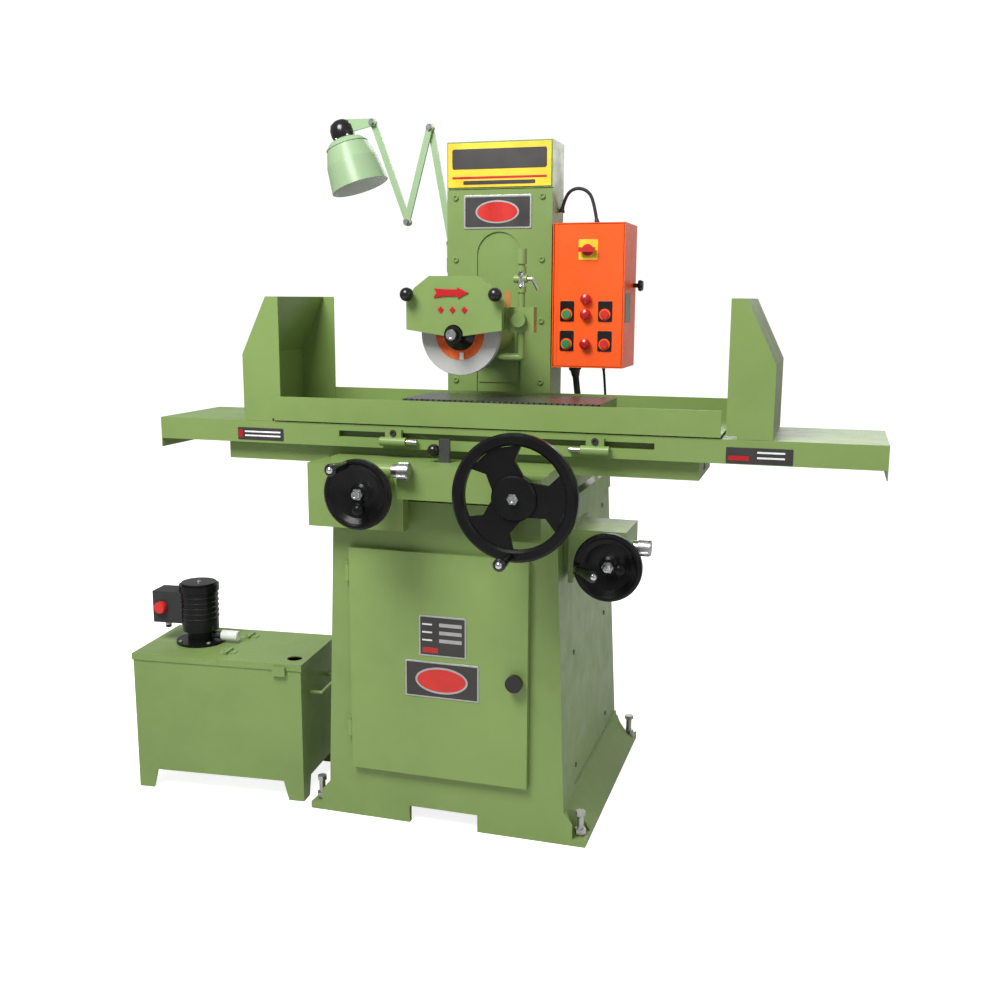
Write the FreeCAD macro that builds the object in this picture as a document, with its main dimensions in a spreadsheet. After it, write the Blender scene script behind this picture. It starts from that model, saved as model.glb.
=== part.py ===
"""Manual surface grinder with its coolant tank, as a parametric assembly.

The machine faces -Y. The origin is on the floor, at the centre of the four anchor holes of the
base. Every size is a cell of the spreadsheet "dims"; lengths are millimetres, angles degrees.
Depths named "..._y" are measured backwards from the front face of the base.
"""
import FreeCAD, Part
import math
import os
import Sketcher
from FreeCAD import Placement, Rotation, Vector

SIZES = {
    # base casting: a tapered box on a flared foot
    "foot_width": 734, "foot_depth": 730, "foot_edge": 18, "foot_rise": 84,
    "base_height": 835, "base_width_low": 628, "base_width_top": 568,
    "base_depth_low": 695, "base_depth_top": 636, "base_wall": 14, "base_roof": 20,
    "side_panel_y": 130, "side_panel_sink": 5, "side_panel_low": 96, "side_panel_high": 790,
    "toe_width": 181, "toe_height": 45,
    "way_centre": 205, "way_width": 58, "way_rise": 22.7, "way_length": 430, "slide_gap": 0.3,
    "anchor_pitch_x": 700, "anchor_pitch_y": 606, "anchor_hole": 14,
    "jack_pitch_x": 696, "jack_pitch_y": 670, "jack_rod": 16, "jack_height": 81, "jack_pocket": 66,
    "jack_head": 22, "jack_nut_low": 24, "jack_nut_thick": 12,
    # cabinet door
    "door_width": 460, "door_height": 574, "door_low": 140, "door_centre": -8, "door_thick": 16,
    "door_gap": 2, "door_lap": 16, "hinge_pin": 8, "hinge_length": 42, "hinge_inset": 92,
    "door_knob": 21, "door_knob_reach": 26, "door_knob_inset": 28, "door_knob_height": 414,
    # saddle, which carries the table and the two upper handwheels
    "saddle_bottom": 858, "saddle_top": 936, "saddle_half": 288, "saddle_back": 440,
    "apron_left": 76, "apron_reach": 100, "bar_half": 601, "bar_front": 60, "bar_depth": 230,
    "bar_bottom": 911, "cavity_half": 160, "cavity_front": 20, "cavity_back": 425, "cavity_top": 915,
    "cheek_left": 323, "cheek_reach": 60, "cheek_bottom": 772, "cheek_plate": 34, "cheek_side": 33,
    "cheek_top": 927, "cheek_side_back": 150, "cheek_joint": 880,
    "rack_slot_y": 150, "rack_slot_width": 30, "rack_slot_depth": 36,
    # table and everything bolted to it
    "table_rest": 112, "table_half": 390, "table_front": 28, "table_depth": 293,
    "table_bottom": 958, "table_top": 1013, "tongue_half": 640, "tongue_inset": 8,
    "slot_low": 982, "slot_high": 997, "slot_deep": 10, "slot_undercut": 5, "slot_wide_deep": 12,
    "wing_half": 894, "wing_sheet": 2.5, "wing_end_drop": 22,
    "tray_half": 551, "tray_shift": -14, "tray_front": 24, "tray_depth": 334, "tray_low": 1016,
    "tray_high": 1076, "tray_sheet": 4,
    "guard_half": 650, "guard_top_half": 582, "guard_inner": 548, "guard_low": 1020.5,
    "guard_kink": 1179, "guard_high": 1321, "guard_sheet": 3, "guard_foot": 78,
    "chuck_half": 250, "chuck_front": 100, "chuck_depth": 200, "chuck_low": 1020.5, "chuck_high": 1074,
    "rack_module": 3, "pinion_teeth": 18, "rack_half": 380, "rack_width": 24,
    # trip dogs and the stop lever between them
    "left_dog": -242, "right_dog": 255, "dog_width": 42, "dog_thick": 12,
    "dog_barrel": 22, "dog_barrel_length": 66, "plunger": 13, "plunger_reach": 28, "dog_drop": 968,
    "stop_x": 12, "stop_y": -16, "stop_width": 27, "stop_height": 56, "stop_thick": 8, "stop_ball": 30,
    "stop_pin": 8,
    # traverse handwheel, pinion shaft and gear case
    "traverse_x": 246, "traverse_z": 900, "traverse_y": -227, "traverse_radius": 140,
    "traverse_rim": 27, "traverse_rim_thick": 24, "traverse_hub": 50, "traverse_hub_length": 44,
    "spoke_angle": 116, "spoke_thick": 10, "case_left": 180, "case_right": 292, "case_front": -180,
    "case_bottom": 794, "case_top": 934, "handle_length": 84, "handle_big": 28, "handle_small": 17,
    "traverse_handle_angle": 267,
    # cross-feed and down-feed handwheels
    "small_radius": 80.5, "small_rim": 13, "small_rim_thick": 22, "small_hub": 34,
    "cross_x": -127, "cross_z": 884, "cross_y": -206, "cross_handle_angle": 109,
    "feed_x": 408, "feed_z": 709, "feed_y": -5, "feed_handle_angle": 184, "feed_handle_fold": 41,
    "sleeve": 62, "shaft": 20, "fit_clearance": 0.05, "screw": 24, "nut_clearance": 0.3,
    "fine_knob": 38, "fine_knob_length": 28, "fine_shaft": 12, "fine_offset_x": 52, "fine_offset_z": 44,
    "wheel_ball": 29, "wheel_ball_offset": 32, "fold_eye": 13, "fold_pin": 5,
    "feed_box_left": 302, "feed_box_right": 440, "feed_box_front": 45, "feed_box_back": 205,
    "feed_box_low": 666, "feed_box_high": 782, "feed_flange": 12,
    "drive_y": 150, "drive_x": 90, "bevel": 24, "bevel_depth": 10,
    # column
    "column_half": 146.5, "column_front": 466, "column_depth": 124, "column_top": 1729,
    "column_wall": 22, "cover_thick": 12, "cover_top": 1605, "slot_half": 62, "slot_top": 1495,
    "slot_bottom": 1010,
    # wheelhead
    "spindle_z": 1232, "head_half": 61.7, "head_round": 55, "head_nose_y": 178, "head_back": 640,
    "head_plate_half": 112, "head_plate_low": 1110, "head_plate_high": 1345, "head_plate": 14,
    "wheel_radius": 100, "wheel_width": 20, "wheel_y": 147, "wheel_bore": 32, "spindle": 30,
    "flange_radius": 40, "blotter_radius": 62, "blotter_thick": 1.5, "nose_nut_y": 70,
    "arch_half": 57, "arch_top": 1400, "arch_thick": 8,
    "way_plate": 4.7, "way_plate_half": 95, "way_plate_low": 921, "way_plate_high": 1515,
    "cover_front": 4,
    "guard_plate_y": 88, "guard_plate": 20, "guard_plate_half": 121, "guard_plate_top": 1371,
    "guard_plate_low": 1243, "guard_dip": 1229, "guard_shoulder": 62, "guard_corner": 100,
    "guard_shoulder_z": 1343, "guard_side_z": 1312, "guard_ring": 112, "guard_ring_back": 178,
    "guard_knob": 32, "guard_knob_x": 111, "guard_knob_z": 1327, "hub_relief": 24,
    "motor_radius": 84, "motor_length": 200, "rotor": 50, "hub": 22,
    # coolant pipe on the wheel guard
    "pipe_x": 150, "pipe_y": 158, "pipe": 17, "pipe_top": 1400, "hose": 24, "hose_top": 1436,
    "valve_low": 1333, "valve_high": 1393, "valve": 19, "valve_lever_z": 1365, "elbow_z": 1178, "nozzle_tip": 94,
    "pipe_block_left": 121, "pipe_block_right": 184, "pipe_block_low": 1238, "pipe_block_high": 1298,
    # control box
    "box_left": 151, "box_right": 344, "box_front": 460.5, "box_back": 636, "box_low": 1137,
    "box_high": 1515, "box_sheet": 2.5, "panel_inset": 10, "panel_thick": 4, "panel_depth": 10,
    "button_left": 192, "button_right": 295, "button_high": 1278, "button_low": 1200, "button": 22,
    "bezel": 30, "button_travel": 4, "switch_x": 246, "switch_z": 1445, "switch": 42,
    # lamp on a three-link arm
    "lamp_y": 560, "lamp_base_x": -168, "lamp_base_z": 1440, "lamp_elbow_x": -227, "lamp_elbow_z": 1782,
    "lamp_knee_x": -297, "lamp_knee_z": 1530, "lamp_wrist_x": -399, "lamp_wrist_z": 1803,
    "arm_width": 18, "arm_thick": 7, "arm_pitch": 10, "arm_pin": 8, "shade_tilt": 19,
    "shade_mouth": 82, "shade_shoulder": 59, "shade_length": 119, "shade_sheet": 1.5,
    "shade_x": -477, "shade_z": 1742, "shade_cap": 30,
    # coolant tank and pump, turned a little on the floor
    "tank_x": -874, "tank_y": -18, "tank_turn": 5.3, "tank_width": 475, "tank_depth": 265,
    "tank_low": 53, "tank_high": 376, "tank_sheet": 3, "leg_top": 56, "leg_foot": 42, "leg_sheet": 4,
    "lid_split": 249, "lid_lip": 14, "lid_over": 3, "lid_pin": 5, "pump_u": 129.5, "pump_v": 140, "pump_flange": 67,
    "pump_body": 50, "pump_top": 549, "pump_base": 22, "pump_pipe": 36, "pump_foot": 92,
    "terminal_left": 7, "terminal_low": 436, "terminal_high": 524, "outlet_z": 400, "outlet_end": 239,
    # cables
    "cable_y": 548, "box_cable": 9, "supply_cable": 18, "signal_cable": 7,
}

doc = FreeCAD.newDocument("surface_grinder")
sheet = doc.addObject("Spreadsheet::Sheet", "dims")
for row, (alias, value) in enumerate(SIZES.items(), start=1):
    sheet.set(f"A{row}", alias)
    sheet.set(f"B{row}", str(value))
    sheet.setAlias(f"B{row}", alias)
doc.recompute()


class Size(float):
    """A number together with the spreadsheet formula that gives it."""

    def __new__(cls, value, formula):
        size = super().__new__(cls, value)
        size.formula = formula
        return size

    def __add__(self, other):
        return Size(float(self) + float(other), f"({formula_of(self)} + {formula_of(other)})")

    def __radd__(self, other):
        return Size(float(other) + float(self), f"({formula_of(other)} + {formula_of(self)})")

    def __sub__(self, other):
        return Size(float(self) - float(other), f"({formula_of(self)} - {formula_of(other)})")

    def __rsub__(self, other):
        return Size(float(other) - float(self), f"({formula_of(other)} - {formula_of(self)})")

    def __mul__(self, other):
        return Size(float(self) * float(other), f"({formula_of(self)} * {formula_of(other)})")

    def __rmul__(self, other):
        return self * other

    def __truediv__(self, other):
        return Size(float(self) / float(other), f"({formula_of(self)} / {formula_of(other)})")

    def __neg__(self):
        return Size(-float(self), f"(-1 * {formula_of(self)})")


def formula_of(value):
    return value.formula if isinstance(value, Size) else f"({float(value):.6f})"


def cosine(angle):
    return Size(math.cos(math.radians(angle)), f"cos({formula_of(angle)} * 1 deg)")


def sine(angle):
    return Size(math.sin(math.radians(angle)), f"sin({formula_of(angle)} * 1 deg)")


class Dimensions:
    """The spreadsheet's cells as sizes: dim.foot_width and so on."""

    def __getattr__(self, alias):
        return Size(sheet.get(alias), f"dims.{alias}")


dim = Dimensions()


def back(distance):
    """The Y of a place so far behind the front face of the base."""
    return distance - dim.foot_depth / 2


def bind(item, **values):
    for name, value in values.items():
        item.setExpression(name, formula_of(value))
    return item


def place(item, x, y, z, rotation=None):
    item.Placement = Placement(Vector(x, y, z), rotation or Rotation())
    for name, value in (("x", x), ("y", y), ("z", z)):
        item.setExpression(f"Placement.Base.{name}", formula_of(value))
    return item


ALONG = {
    "x": Rotation(Vector(0, 1, 0), 90),
    "y": Rotation(Vector(1, 0, 0), -90),
    "z": Rotation(),
}


def on_axis(axis, start, centre):
    """The point at start along an axis whose other two coordinates are centre."""
    first, second = centre
    return {"x": (start, first, second), "y": (first, start, second), "z": (first, second, start)}[axis]


def block(x, y, z):
    """A box between pairs of coordinates."""
    item = doc.addObject("Part::Box", "block")
    bind(item, Length=x[1] - x[0], Width=y[1] - y[0], Height=z[1] - z[0])
    return place(item, x[0], y[0], z[0])


def rod(axis, diameter, ends, centre):
    item = doc.addObject("Part::Cylinder", "rod")
    bind(item, Radius=diameter / 2, Height=ends[1] - ends[0])
    return place(item, *on_axis(axis, ends[0], centre), ALONG[axis])


def cone(axis, first, last, ends, centre):
    item = doc.addObject("Part::Cone", "cone")
    bind(item, Radius1=first / 2, Radius2=last / 2, Height=ends[1] - ends[0])
    return place(item, *on_axis(axis, ends[0], centre), ALONG[axis])


def ball(diameter, x, y, z, seam=0):
    """A sphere whose seam faces so many degrees round from +X, away from what joins it."""
    item = doc.addObject("Part::Sphere", "ball")
    bind(item, Radius=diameter / 2)
    return place(item, x, y, z, Rotation(Vector(0, 0, 1), seam))


def hexagon(axis, across, ends, centre):
    item = doc.addObject("Part::Prism", "hexagon")
    item.Polygon = 6
    bind(item, Circumradius=across / math.sqrt(3), Height=ends[1] - ends[0])
    return place(item, *on_axis(axis, ends[0], centre), ALONG[axis])


def taper(low, high, z):
    """A box whose plan changes from low to high; each plan is (x0, x1, y0, y1)."""
    item = doc.addObject("Part::Wedge", "taper")
    bind(item, Ymin=0, Ymax=z[1] - z[0])
    bind(item, Xmin=low[0], Xmax=low[1], Zmin=negative(low[3]), Zmax=negative(low[2]))
    bind(item, X2min=high[0], X2max=high[1], Z2min=negative(high[3]), Z2max=negative(high[2]))
    return place(item, 0, 0, z[0], Rotation(Vector(1, 0, 0), 90))


def negative(value):
    return Size(-float(value), f"(-1 * {formula_of(value)})")


def join(*items):
    item = doc.addObject("Part::MultiFuse", "join")
    item.Shapes = list(items)
    return item


def group(*items):
    """Separate solids of one sub-part."""
    item = doc.addObject("Part::Compound", "group")
    item.Links = list(items)
    return item


def cut(base, *tools):
    item = doc.addObject("Part::Cut", "cut")
    item.Base = base
    item.Tool = tools[0] if len(tools) == 1 else join(*tools)
    return item


def sketch_outline(body, plane, points):
    """A closed outline of straight lines; every corner is bound to its two formulas."""
    sketch = body.newObject("Sketcher::SketchObject", "outline")
    origin = next(o for o in body.Origin.OriginFeatures if o.Role == plane)
    sketch.AttachmentSupport = [(origin, "")]
    sketch.MapMode = "FlatFace"
    corners = [Vector(across, up, 0) for across, up in points]
    for index, corner in enumerate(corners):
        following = corners[(index + 1) % len(corners)]
        sketch.addGeometry(Part.LineSegment(corner, following), False)
    for index in range(len(corners)):
        sketch.addConstraint(Sketcher.Constraint("Coincident", index, 2, (index + 1) % len(corners), 1))
    for index, (across, up) in enumerate(points):
        for kind, value in (("DistanceX", across), ("DistanceY", up)):
            number = sketch.addConstraint(Sketcher.Constraint(kind, -1, 1, index, 1, float(value)))
            sketch.setExpression(f"Constraints[{number}]", formula_of(value))
    return sketch


def prism(plane, points, ends):
    """An outline pushed along its normal: XY along Z, YZ along X, XZ along Y."""
    body = doc.addObject("PartDesign::Body", "prism")
    sketch = sketch_outline(body, plane + "_Plane", points)
    pad = body.newObject("PartDesign::Pad", "pad")
    pad.Profile = sketch
    bind(pad, Length=ends[1] - ends[0])
    body.Tip = pad
    x, y, z = {"XY": (0, 0, ends[0]), "YZ": (ends[0], 0, 0), "XZ": (0, ends[1], 0)}[plane]
    return place(body, x, y, z)


def turned(axis, points, start, centre):
    """A turned piece: points are (radius, distance along the axis)."""
    body = doc.addObject("PartDesign::Body", "turned")
    sketch = sketch_outline(body, "XZ_Plane", points)
    turning = body.newObject("PartDesign::Revolution", "turning")
    turning.Profile = sketch
    turning.ReferenceAxis = (sketch, ["V_Axis"])
    turning.Angle = 360
    body.Tip = turning
    return place(body, *on_axis(axis, start, centre), ALONG[axis])


def solid_of(shape, label="shape"):
    """A shape that Part's own functions made."""
    item = doc.addObject("Part::Feature", label)
    item.Shape = shape
    return item


nodes = {}


def node(name, item):
    """Give the finished sub-part its name."""
    item.Label = name
    nodes[name] = item
    return item


def around(x, y, z, axis, angle, item):
    """Turn a finished piece about a point."""
    turned_piece = group(item)
    turned_piece.Placement = Placement(Vector(), Rotation(axis, float(angle)), Vector(x, y, z))
    return turned_piece


def spin(item, x, y, z, angle):
    """Bring a piece built round the origin to a place, turned clockwise about the Y axis."""
    turned_piece = group(item)
    return place(turned_piece, x, y, z, Rotation(Vector(0, -1, 0), float(angle)))


# ------------------------------------------------------------------ base

def base_half(z):
    return (dim.base_width_low - (dim.base_width_low - dim.base_width_top) * (z / dim.base_height)) / 2


def base_rear(z):
    return dim.base_depth_low - (dim.base_depth_low - dim.base_depth_top) * (z / dim.base_height)


def base_plan(z, inset=0, front_inset=0):
    return (inset - base_half(z), base_half(z) - inset, back(front_inset), back(base_rear(z)) - inset)


def corners(pitch_x, pitch_y):
    return [(pitch_x * sx / 2, pitch_y * sy / 2) for sx in (-1, 1) for sy in (-1, 1)]


def base_casting():
    top = dim.base_height
    rise = dim.foot_rise
    foot = (-dim.foot_width / 2, dim.foot_width / 2, back(0), back(dim.foot_depth))
    shell = join(
        taper(base_plan(0 * top), base_plan(top), (0, top)),
        block(foot[:2], foot[2:], (0, dim.foot_edge)),
        taper(foot, base_plan(rise), (dim.foot_edge, rise)),
    )
    wall = dim.base_wall
    hollow_top = top - dim.base_roof
    hollow = taper(base_plan(-wall, wall, wall), base_plan(hollow_top, wall, wall), (-wall, hollow_top))
    toe = block((-dim.toe_width / 2, dim.toe_width / 2), (back(-wall), back(wall * 2)), (-wall, dim.toe_height))
    lap = dim.door_lap
    doorway = block(
        (dim.door_centre - dim.door_width / 2 + lap, dim.door_centre + dim.door_width / 2 - lap),
        (back(-wall), back(wall * 2)),
        (dim.door_low + lap, dim.door_low + dim.door_height - lap))
    holes = [rod("z", dim.anchor_hole, (-wall, rise), place_xy)
             for place_xy in corners(dim.anchor_pitch_x, dim.anchor_pitch_y)]
    for spot in corners(dim.jack_pitch_x, dim.jack_pitch_y):
        holes.append(rod("z", dim.jack_rod + 1, (-wall, rise), spot))
        holes.append(rod("z", dim.jack_pocket, (dim.foot_edge, rise * 2), spot))
    low, high = dim.side_panel_low, dim.side_panel_high
    sink = dim.side_panel_sink
    panels = []
    for side in (-1, 1):
        inner = [side * (base_half(z) - sink) for z in (low, high)]
        outer = [side * (base_half(z) + wall) for z in (low, high)]
        plans = [(min(a, b), max(a, b), back(dim.side_panel_y), back(dim.foot_depth))
                 for a, b in zip(inner, outer)]
        panels.append(taper(plans[0], plans[1], (low, high)))
    ways = [block((side * dim.way_centre - dim.way_width / 2, side * dim.way_centre + dim.way_width / 2),
                  (back(wall), back(wall + dim.way_length)), (top, top + dim.way_rise)) for side in (-1, 1)]
    nut_y = (back(196), back(228))
    nut = cut(block((dim.cross_x - dim.screw, dim.cross_x + dim.screw), nut_y,
                    (top, dim.cross_z + dim.screw)),
              rod("y", dim.screw + 2 * dim.nut_clearance, (nut_y[0] - wall, nut_y[1] + wall),
                  (dim.cross_x, dim.cross_z)))
    feed_hole = rod("x", dim.shaft + wall, (base_half(dim.feed_z) - 3 * wall, base_half(dim.feed_z) + wall),
                    (back(dim.drive_y), dim.feed_z))
    screw_hole = rod("z", dim.screw + 2, (hollow_top - wall, top + wall), (dim.drive_x, column_middle()))
    body = cut(shell, hollow, toe, doorway, feed_hole, screw_hole, *panels, *holes)
    feed_pad = block((base_half(dim.feed_box_low) - wall, dim.feed_box_left),
                     (back(dim.feed_box_front + 15), back(dim.drive_y) - 25),
                     (dim.feed_box_low + 12, dim.feed_box_high - 12))
    return join(body, thrust_bracket(hollow_top), nut, feed_pad, *ways)


def column_middle():
    return back(dim.column_front + dim.cover_thick) + (dim.column_depth - dim.cover_thick) / 2


def thrust_bracket(hollow_top):
    """Hanger under the roof that carries the drive shaft and the foot of the elevating screw."""
    x, z = dim.drive_x, dim.feed_z
    half = dim.bevel
    y = column_middle()
    front = block((x - half, x + half), (back(dim.drive_y) + 40, back(dim.drive_y) + 60),
                  (z - half, hollow_top + 5))
    rear = block((x - half, x + half), (y - 90, y - 70), (z - half, hollow_top + 5))
    collar = block((x - half, x + half), (y - half, y + half), (z + half + 6, hollow_top + 5))
    bore = rod("y", dim.shaft + 2 * dim.fit_clearance, (back(dim.drive_y), y - 60), (x, z))
    down = rod("z", dim.screw + 2 * dim.fit_clearance, (z, hollow_top + 9), (x, y))
    return cut(join(front, rear, collar), bore, down)


def door_edges():
    half = dim.door_width / 2
    return dim.door_centre - half, dim.door_centre + half


def hinge_heights():
    return [dim.door_low + dim.hinge_inset + 12, dim.door_low + dim.door_height - dim.hinge_inset + 28]


def door_hinges():
    """Pins of the cabinet door, each held by an ear on the base above and below the barrel."""
    left = door_edges()[0]
    outside = back(-dim.door_gap - dim.door_thick)
    pin_x = left - dim.hinge_pin / 2 - 2
    pins = []
    for z in hinge_heights():
        low, high = z - dim.hinge_length / 2 - 0.5, z + dim.hinge_length / 2 + 0.5
        pin = rod("z", dim.hinge_pin, (low - 6, high + 6), (pin_x, outside + 8))
        ears = [block((pin_x - 5, pin_x + 5), (outside + 8, back(0)), ends)
                for ends in ((low - 6, low), (high, high + 6))]
        ears += [rod("z", 11, ends, (pin_x, outside + 8)) for ends in ((low - 6, low), (high, high + 6))]
        pins.append(join(pin, *ears))
    return group(*pins)


node("base_casting", group(base_casting(), door_hinges()))


def jack_bolts():
    bolts = []
    for spot in corners(dim.jack_pitch_x, dim.jack_pitch_y):
        rod_top = dim.jack_height - dim.jack_head / 2
        shank = rod("z", dim.jack_rod, (0, rod_top), spot)
        head = hexagon("z", dim.jack_head, (rod_top, dim.jack_height), spot)
        nut_low = dim.jack_nut_low
        nut = hexagon("z", dim.jack_head * 1.15, (nut_low, nut_low + dim.jack_nut_thick), spot)
        bolts.append(join(shank, head, nut))
    return group(*bolts)


node("levelling_bolts", jack_bolts())


# ------------------------------------------------------------------ cabinet door

def cabinet_door():
    left, right = door_edges()
    low, high = dim.door_low, dim.door_low + dim.door_height
    outside, inside = back(-dim.door_gap - dim.door_thick), back(-dim.door_gap)
    skin = 3
    panel = cut(block((left, right), (outside, inside), (low, high)),
                block((left + skin, right - skin), (outside + skin, inside + 1), (low + skin, high - skin)))
    knuckles = []
    pin_x = left - dim.hinge_pin / 2 - 2
    for z in hinge_heights():
        ends = (z - dim.hinge_length / 2, z + dim.hinge_length / 2)
        barrel = cut(rod("z", dim.hinge_pin + 8, ends, (pin_x, outside + 8)),
                     rod("z", dim.hinge_pin + 2 * dim.fit_clearance, (ends[0] - 1, ends[1] + 1), (pin_x, outside + 8)))
        leaf = block((pin_x + dim.hinge_pin / 2 + 1, left + skin), (outside + 8, outside + 11), ends)
        knuckles.append(join(barrel, leaf))
    lock_hole = rod("y", 14 + 2 * dim.fit_clearance, (outside - 1, inside), lock_centre())
    return cut(join(panel, *knuckles), lock_hole)


def lock_centre():
    return door_edges()[1] - dim.door_knob_inset, dim.door_knob_height


node("cabinet_door", cabinet_door())


def door_knob():
    front = back(-dim.door_gap - dim.door_thick)
    reach = dim.door_knob_reach
    knob = join(rod("y", dim.door_knob * 2, (front - reach, front - reach + 14), lock_centre()),
                rod("y", 14, (front - reach + 14, back(8)), lock_centre()))
    x, z = lock_centre()
    cam = block((x - 8, x + 8), (back(dim.base_wall + 1), back(dim.base_wall + 5)), (z - 9, z + dim.door_lap + 20))
    stem = rod("y", 14, (back(8), back(dim.base_wall + 3)), (x, z))
    return join(knob, stem, cam)


node("door_knob", door_knob())


# ------------------------------------------------------------------ saddle

def saddle_casting():
    low, top = dim.saddle_bottom, dim.saddle_top
    half = dim.saddle_half
    bar_y = (back(dim.bar_front), back(dim.bar_front + dim.bar_depth))
    bar_top = dim.table_bottom - dim.slide_gap
    cheek = back(-dim.cheek_reach)
    left = -dim.cheek_left
    solid = join(
        block((-half, half), (back(0), back(dim.saddle_back)), (low, top)),
        block((-dim.apron_left, half), (back(-dim.apron_reach), back(0)), (low, top)),
        block((left, -dim.apron_left), (cheek, back(0)), (dim.cheek_joint, dim.cheek_top)),
        block((left, -half), (back(0), back(dim.cheek_side_back)), (dim.cheek_joint, dim.cheek_top)),
        block((left, -dim.apron_left), (cheek, cheek + dim.cheek_plate), (dim.cheek_bottom, dim.cheek_joint)),
        block((left, left + dim.cheek_side), (cheek, back(dim.cheek_side_back)), (dim.cheek_bottom, dim.cheek_top)),
        block((-dim.bar_half, dim.bar_half), bar_y, (dim.bar_bottom, bar_top)))
    cavity = block((-dim.cavity_half, dim.cavity_half), (back(dim.cavity_front), back(dim.cavity_back)),
                   (low - 1, dim.cavity_top))
    slot_y = back(dim.rack_slot_y)
    slot = block((-dim.bar_half - 1, dim.bar_half + 1), (slot_y, slot_y + dim.rack_slot_width),
                 (bar_top - dim.rack_slot_depth, bar_top + 1))
    pit = rod("y", (pinion_pitch() + 12) * 2, (slot_y, slot_y + dim.rack_slot_width),
              (dim.traverse_x, dim.traverse_z))
    bores = [
        rod("y", dim.screw + 2 * dim.fit_clearance, (cheek - 1, back(dim.cavity_front + 1)),
            (dim.cross_x, dim.cross_z)),
        rod("y", dim.shaft + 2 * dim.fit_clearance, (back(-dim.apron_reach - 1), slot_y + 1),
            (dim.traverse_x, dim.traverse_z)),
        rod("z", dim.stop_pin + 2 * dim.fit_clearance, (dim.saddle_top - 21, dim.saddle_top + 1),
            (dim.stop_x, back(dim.stop_y) + dim.stop_thick / 2)),
    ]
    return cut(solid, cavity, slot, pit, *bores)


def pinion_pitch():
    return dim.rack_module * dim.pinion_teeth / 2


node("saddle_casting", saddle_casting())


def traverse_case():
    y = (back(dim.case_front), back(-dim.apron_reach))
    case = block((dim.case_left, dim.case_right), y, (dim.case_bottom, dim.case_top))
    bore = rod("y", dim.shaft + 2 * dim.fit_clearance, (y[0] - 30, y[1] + 1), (dim.traverse_x, dim.traverse_z))
    boss = rod("y", dim.traverse_hub, (y[0] - 12, y[0]), (dim.traverse_x, dim.traverse_z))
    return cut(join(case, boss), bore)


node("traverse_case", traverse_case())


def fine_feed_case(wheel_x, wheel_y, wheel_z, seat_y):
    """Sleeve behind a small handwheel, with a side arm for the fine-feed knob."""
    front = wheel_y + dim.small_rim_thick / 2 + 8
    arm_x, arm_z = wheel_x + dim.fine_offset_x, wheel_z + dim.fine_offset_z
    middle = (front + seat_y) / 2
    barrel = rod("y", dim.sleeve, (front, seat_y), (wheel_x, wheel_z))
    arm = rod("x", dim.fine_knob - 8, (wheel_x, arm_x), (middle, arm_z))
    web = block((wheel_x - 14, arm_x - 12), (middle - 12, middle + 12), (wheel_z, arm_z + 4))
    body = join(barrel, arm, web)
    fine_bore = rod("x", dim.fine_shaft + 2 * dim.fit_clearance, (wheel_x, arm_x + 1), (middle, arm_z))
    main_bore = rod("y", dim.shaft + 2 * dim.fit_clearance, (front - 1, seat_y + 1), (wheel_x, wheel_z))
    return cut(body, fine_bore, main_bore)


def fine_feed_knob(wheel_x, wheel_y, wheel_z, seat_y):
    front = wheel_y + dim.small_rim_thick / 2 + 8
    middle = (front + seat_y) / 2
    arm_x, arm_z = wheel_x + dim.fine_offset_x, wheel_z + dim.fine_offset_z
    gap = 1
    centre = (middle, arm_z)
    return join(rod("x", dim.fine_shaft, (wheel_x + 4, arm_x + gap + 2), centre),
                rod("x", dim.fine_knob - 6, (arm_x + gap, arm_x + gap + 12), centre),
                rod("x", dim.fine_knob, (arm_x + gap + 12, arm_x + gap + 12 + dim.fine_knob_length), centre))


CROSS = (dim.cross_x, back(dim.cross_y), dim.cross_z, back(-dim.cheek_reach))
FEED = (dim.feed_x, back(dim.feed_y), dim.feed_z, back(dim.feed_box_front))
node("cross_feed_case", fine_feed_case(*CROSS))
node("cross_fine_knob", fine_feed_knob(*CROSS))


# ------------------------------------------------------------------ table

def table_casting():
    middle = dim.table_rest
    half = dim.table_half
    y = (back(dim.table_front), back(dim.table_front + dim.table_depth))
    z = (dim.table_bottom, dim.table_top)
    inset = dim.tongue_inset
    bed = block((middle - half, middle + half), y, z)
    tongue = block((middle - dim.tongue_half, middle + dim.tongue_half), (y[0] + inset, y[1] - inset),
                   (z[0], z[1] - inset))
    throat = block((middle - half - 1, middle + half + 1), (y[0] - 1, y[0] + dim.slot_deep + 1),
                   (dim.slot_low, dim.slot_high))
    wide = block((middle - half - 1, middle + half + 1),
                 (y[0] + dim.slot_deep, y[0] + dim.slot_deep + dim.slot_wide_deep),
                 (dim.slot_low - dim.slot_undercut, dim.slot_high + dim.slot_undercut))
    return cut(join(bed, tongue), throat, wide)


def rack_outline():
    """Side view of the rack: straight-sided teeth hanging from a bar."""
    module = float(dim.rack_module)
    pitch_z = float(dim.traverse_z + pinion_pitch())
    top = float(dim.table_bottom)
    step = math.pi * module
    tip, root = pitch_z - 0.9 * module, pitch_z + 1.25 * module
    lean = math.tan(math.radians(20))
    middle, half = float(dim.table_rest), float(dim.rack_half)
    first = math.ceil((middle - half - float(dim.traverse_x)) / step)
    last = math.floor((middle + half - float(dim.traverse_x)) / step)
    points = [(middle - half, top), (middle - half, root)]
    thick = step / 4 - 0.35
    for number in range(first, last + 1):
        centre = float(dim.traverse_x) + number * step
        wide, narrow = thick + (root - pitch_z) * lean, thick - (pitch_z - tip) * lean
        if centre - wide > middle - half and centre + wide < middle + half:
            points += [(centre - wide, root), (centre - narrow, tip), (centre + narrow, tip), (centre + wide, root)]
    return points + [(middle + half, root), (middle + half, top)]


def extruded(points, y0, y1):
    wire = Part.makePolygon([Vector(x, y0, z) for x, z in points + points[:1]])
    return Part.Face(wire).extrude(Vector(0, y1 - y0, 0))


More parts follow.
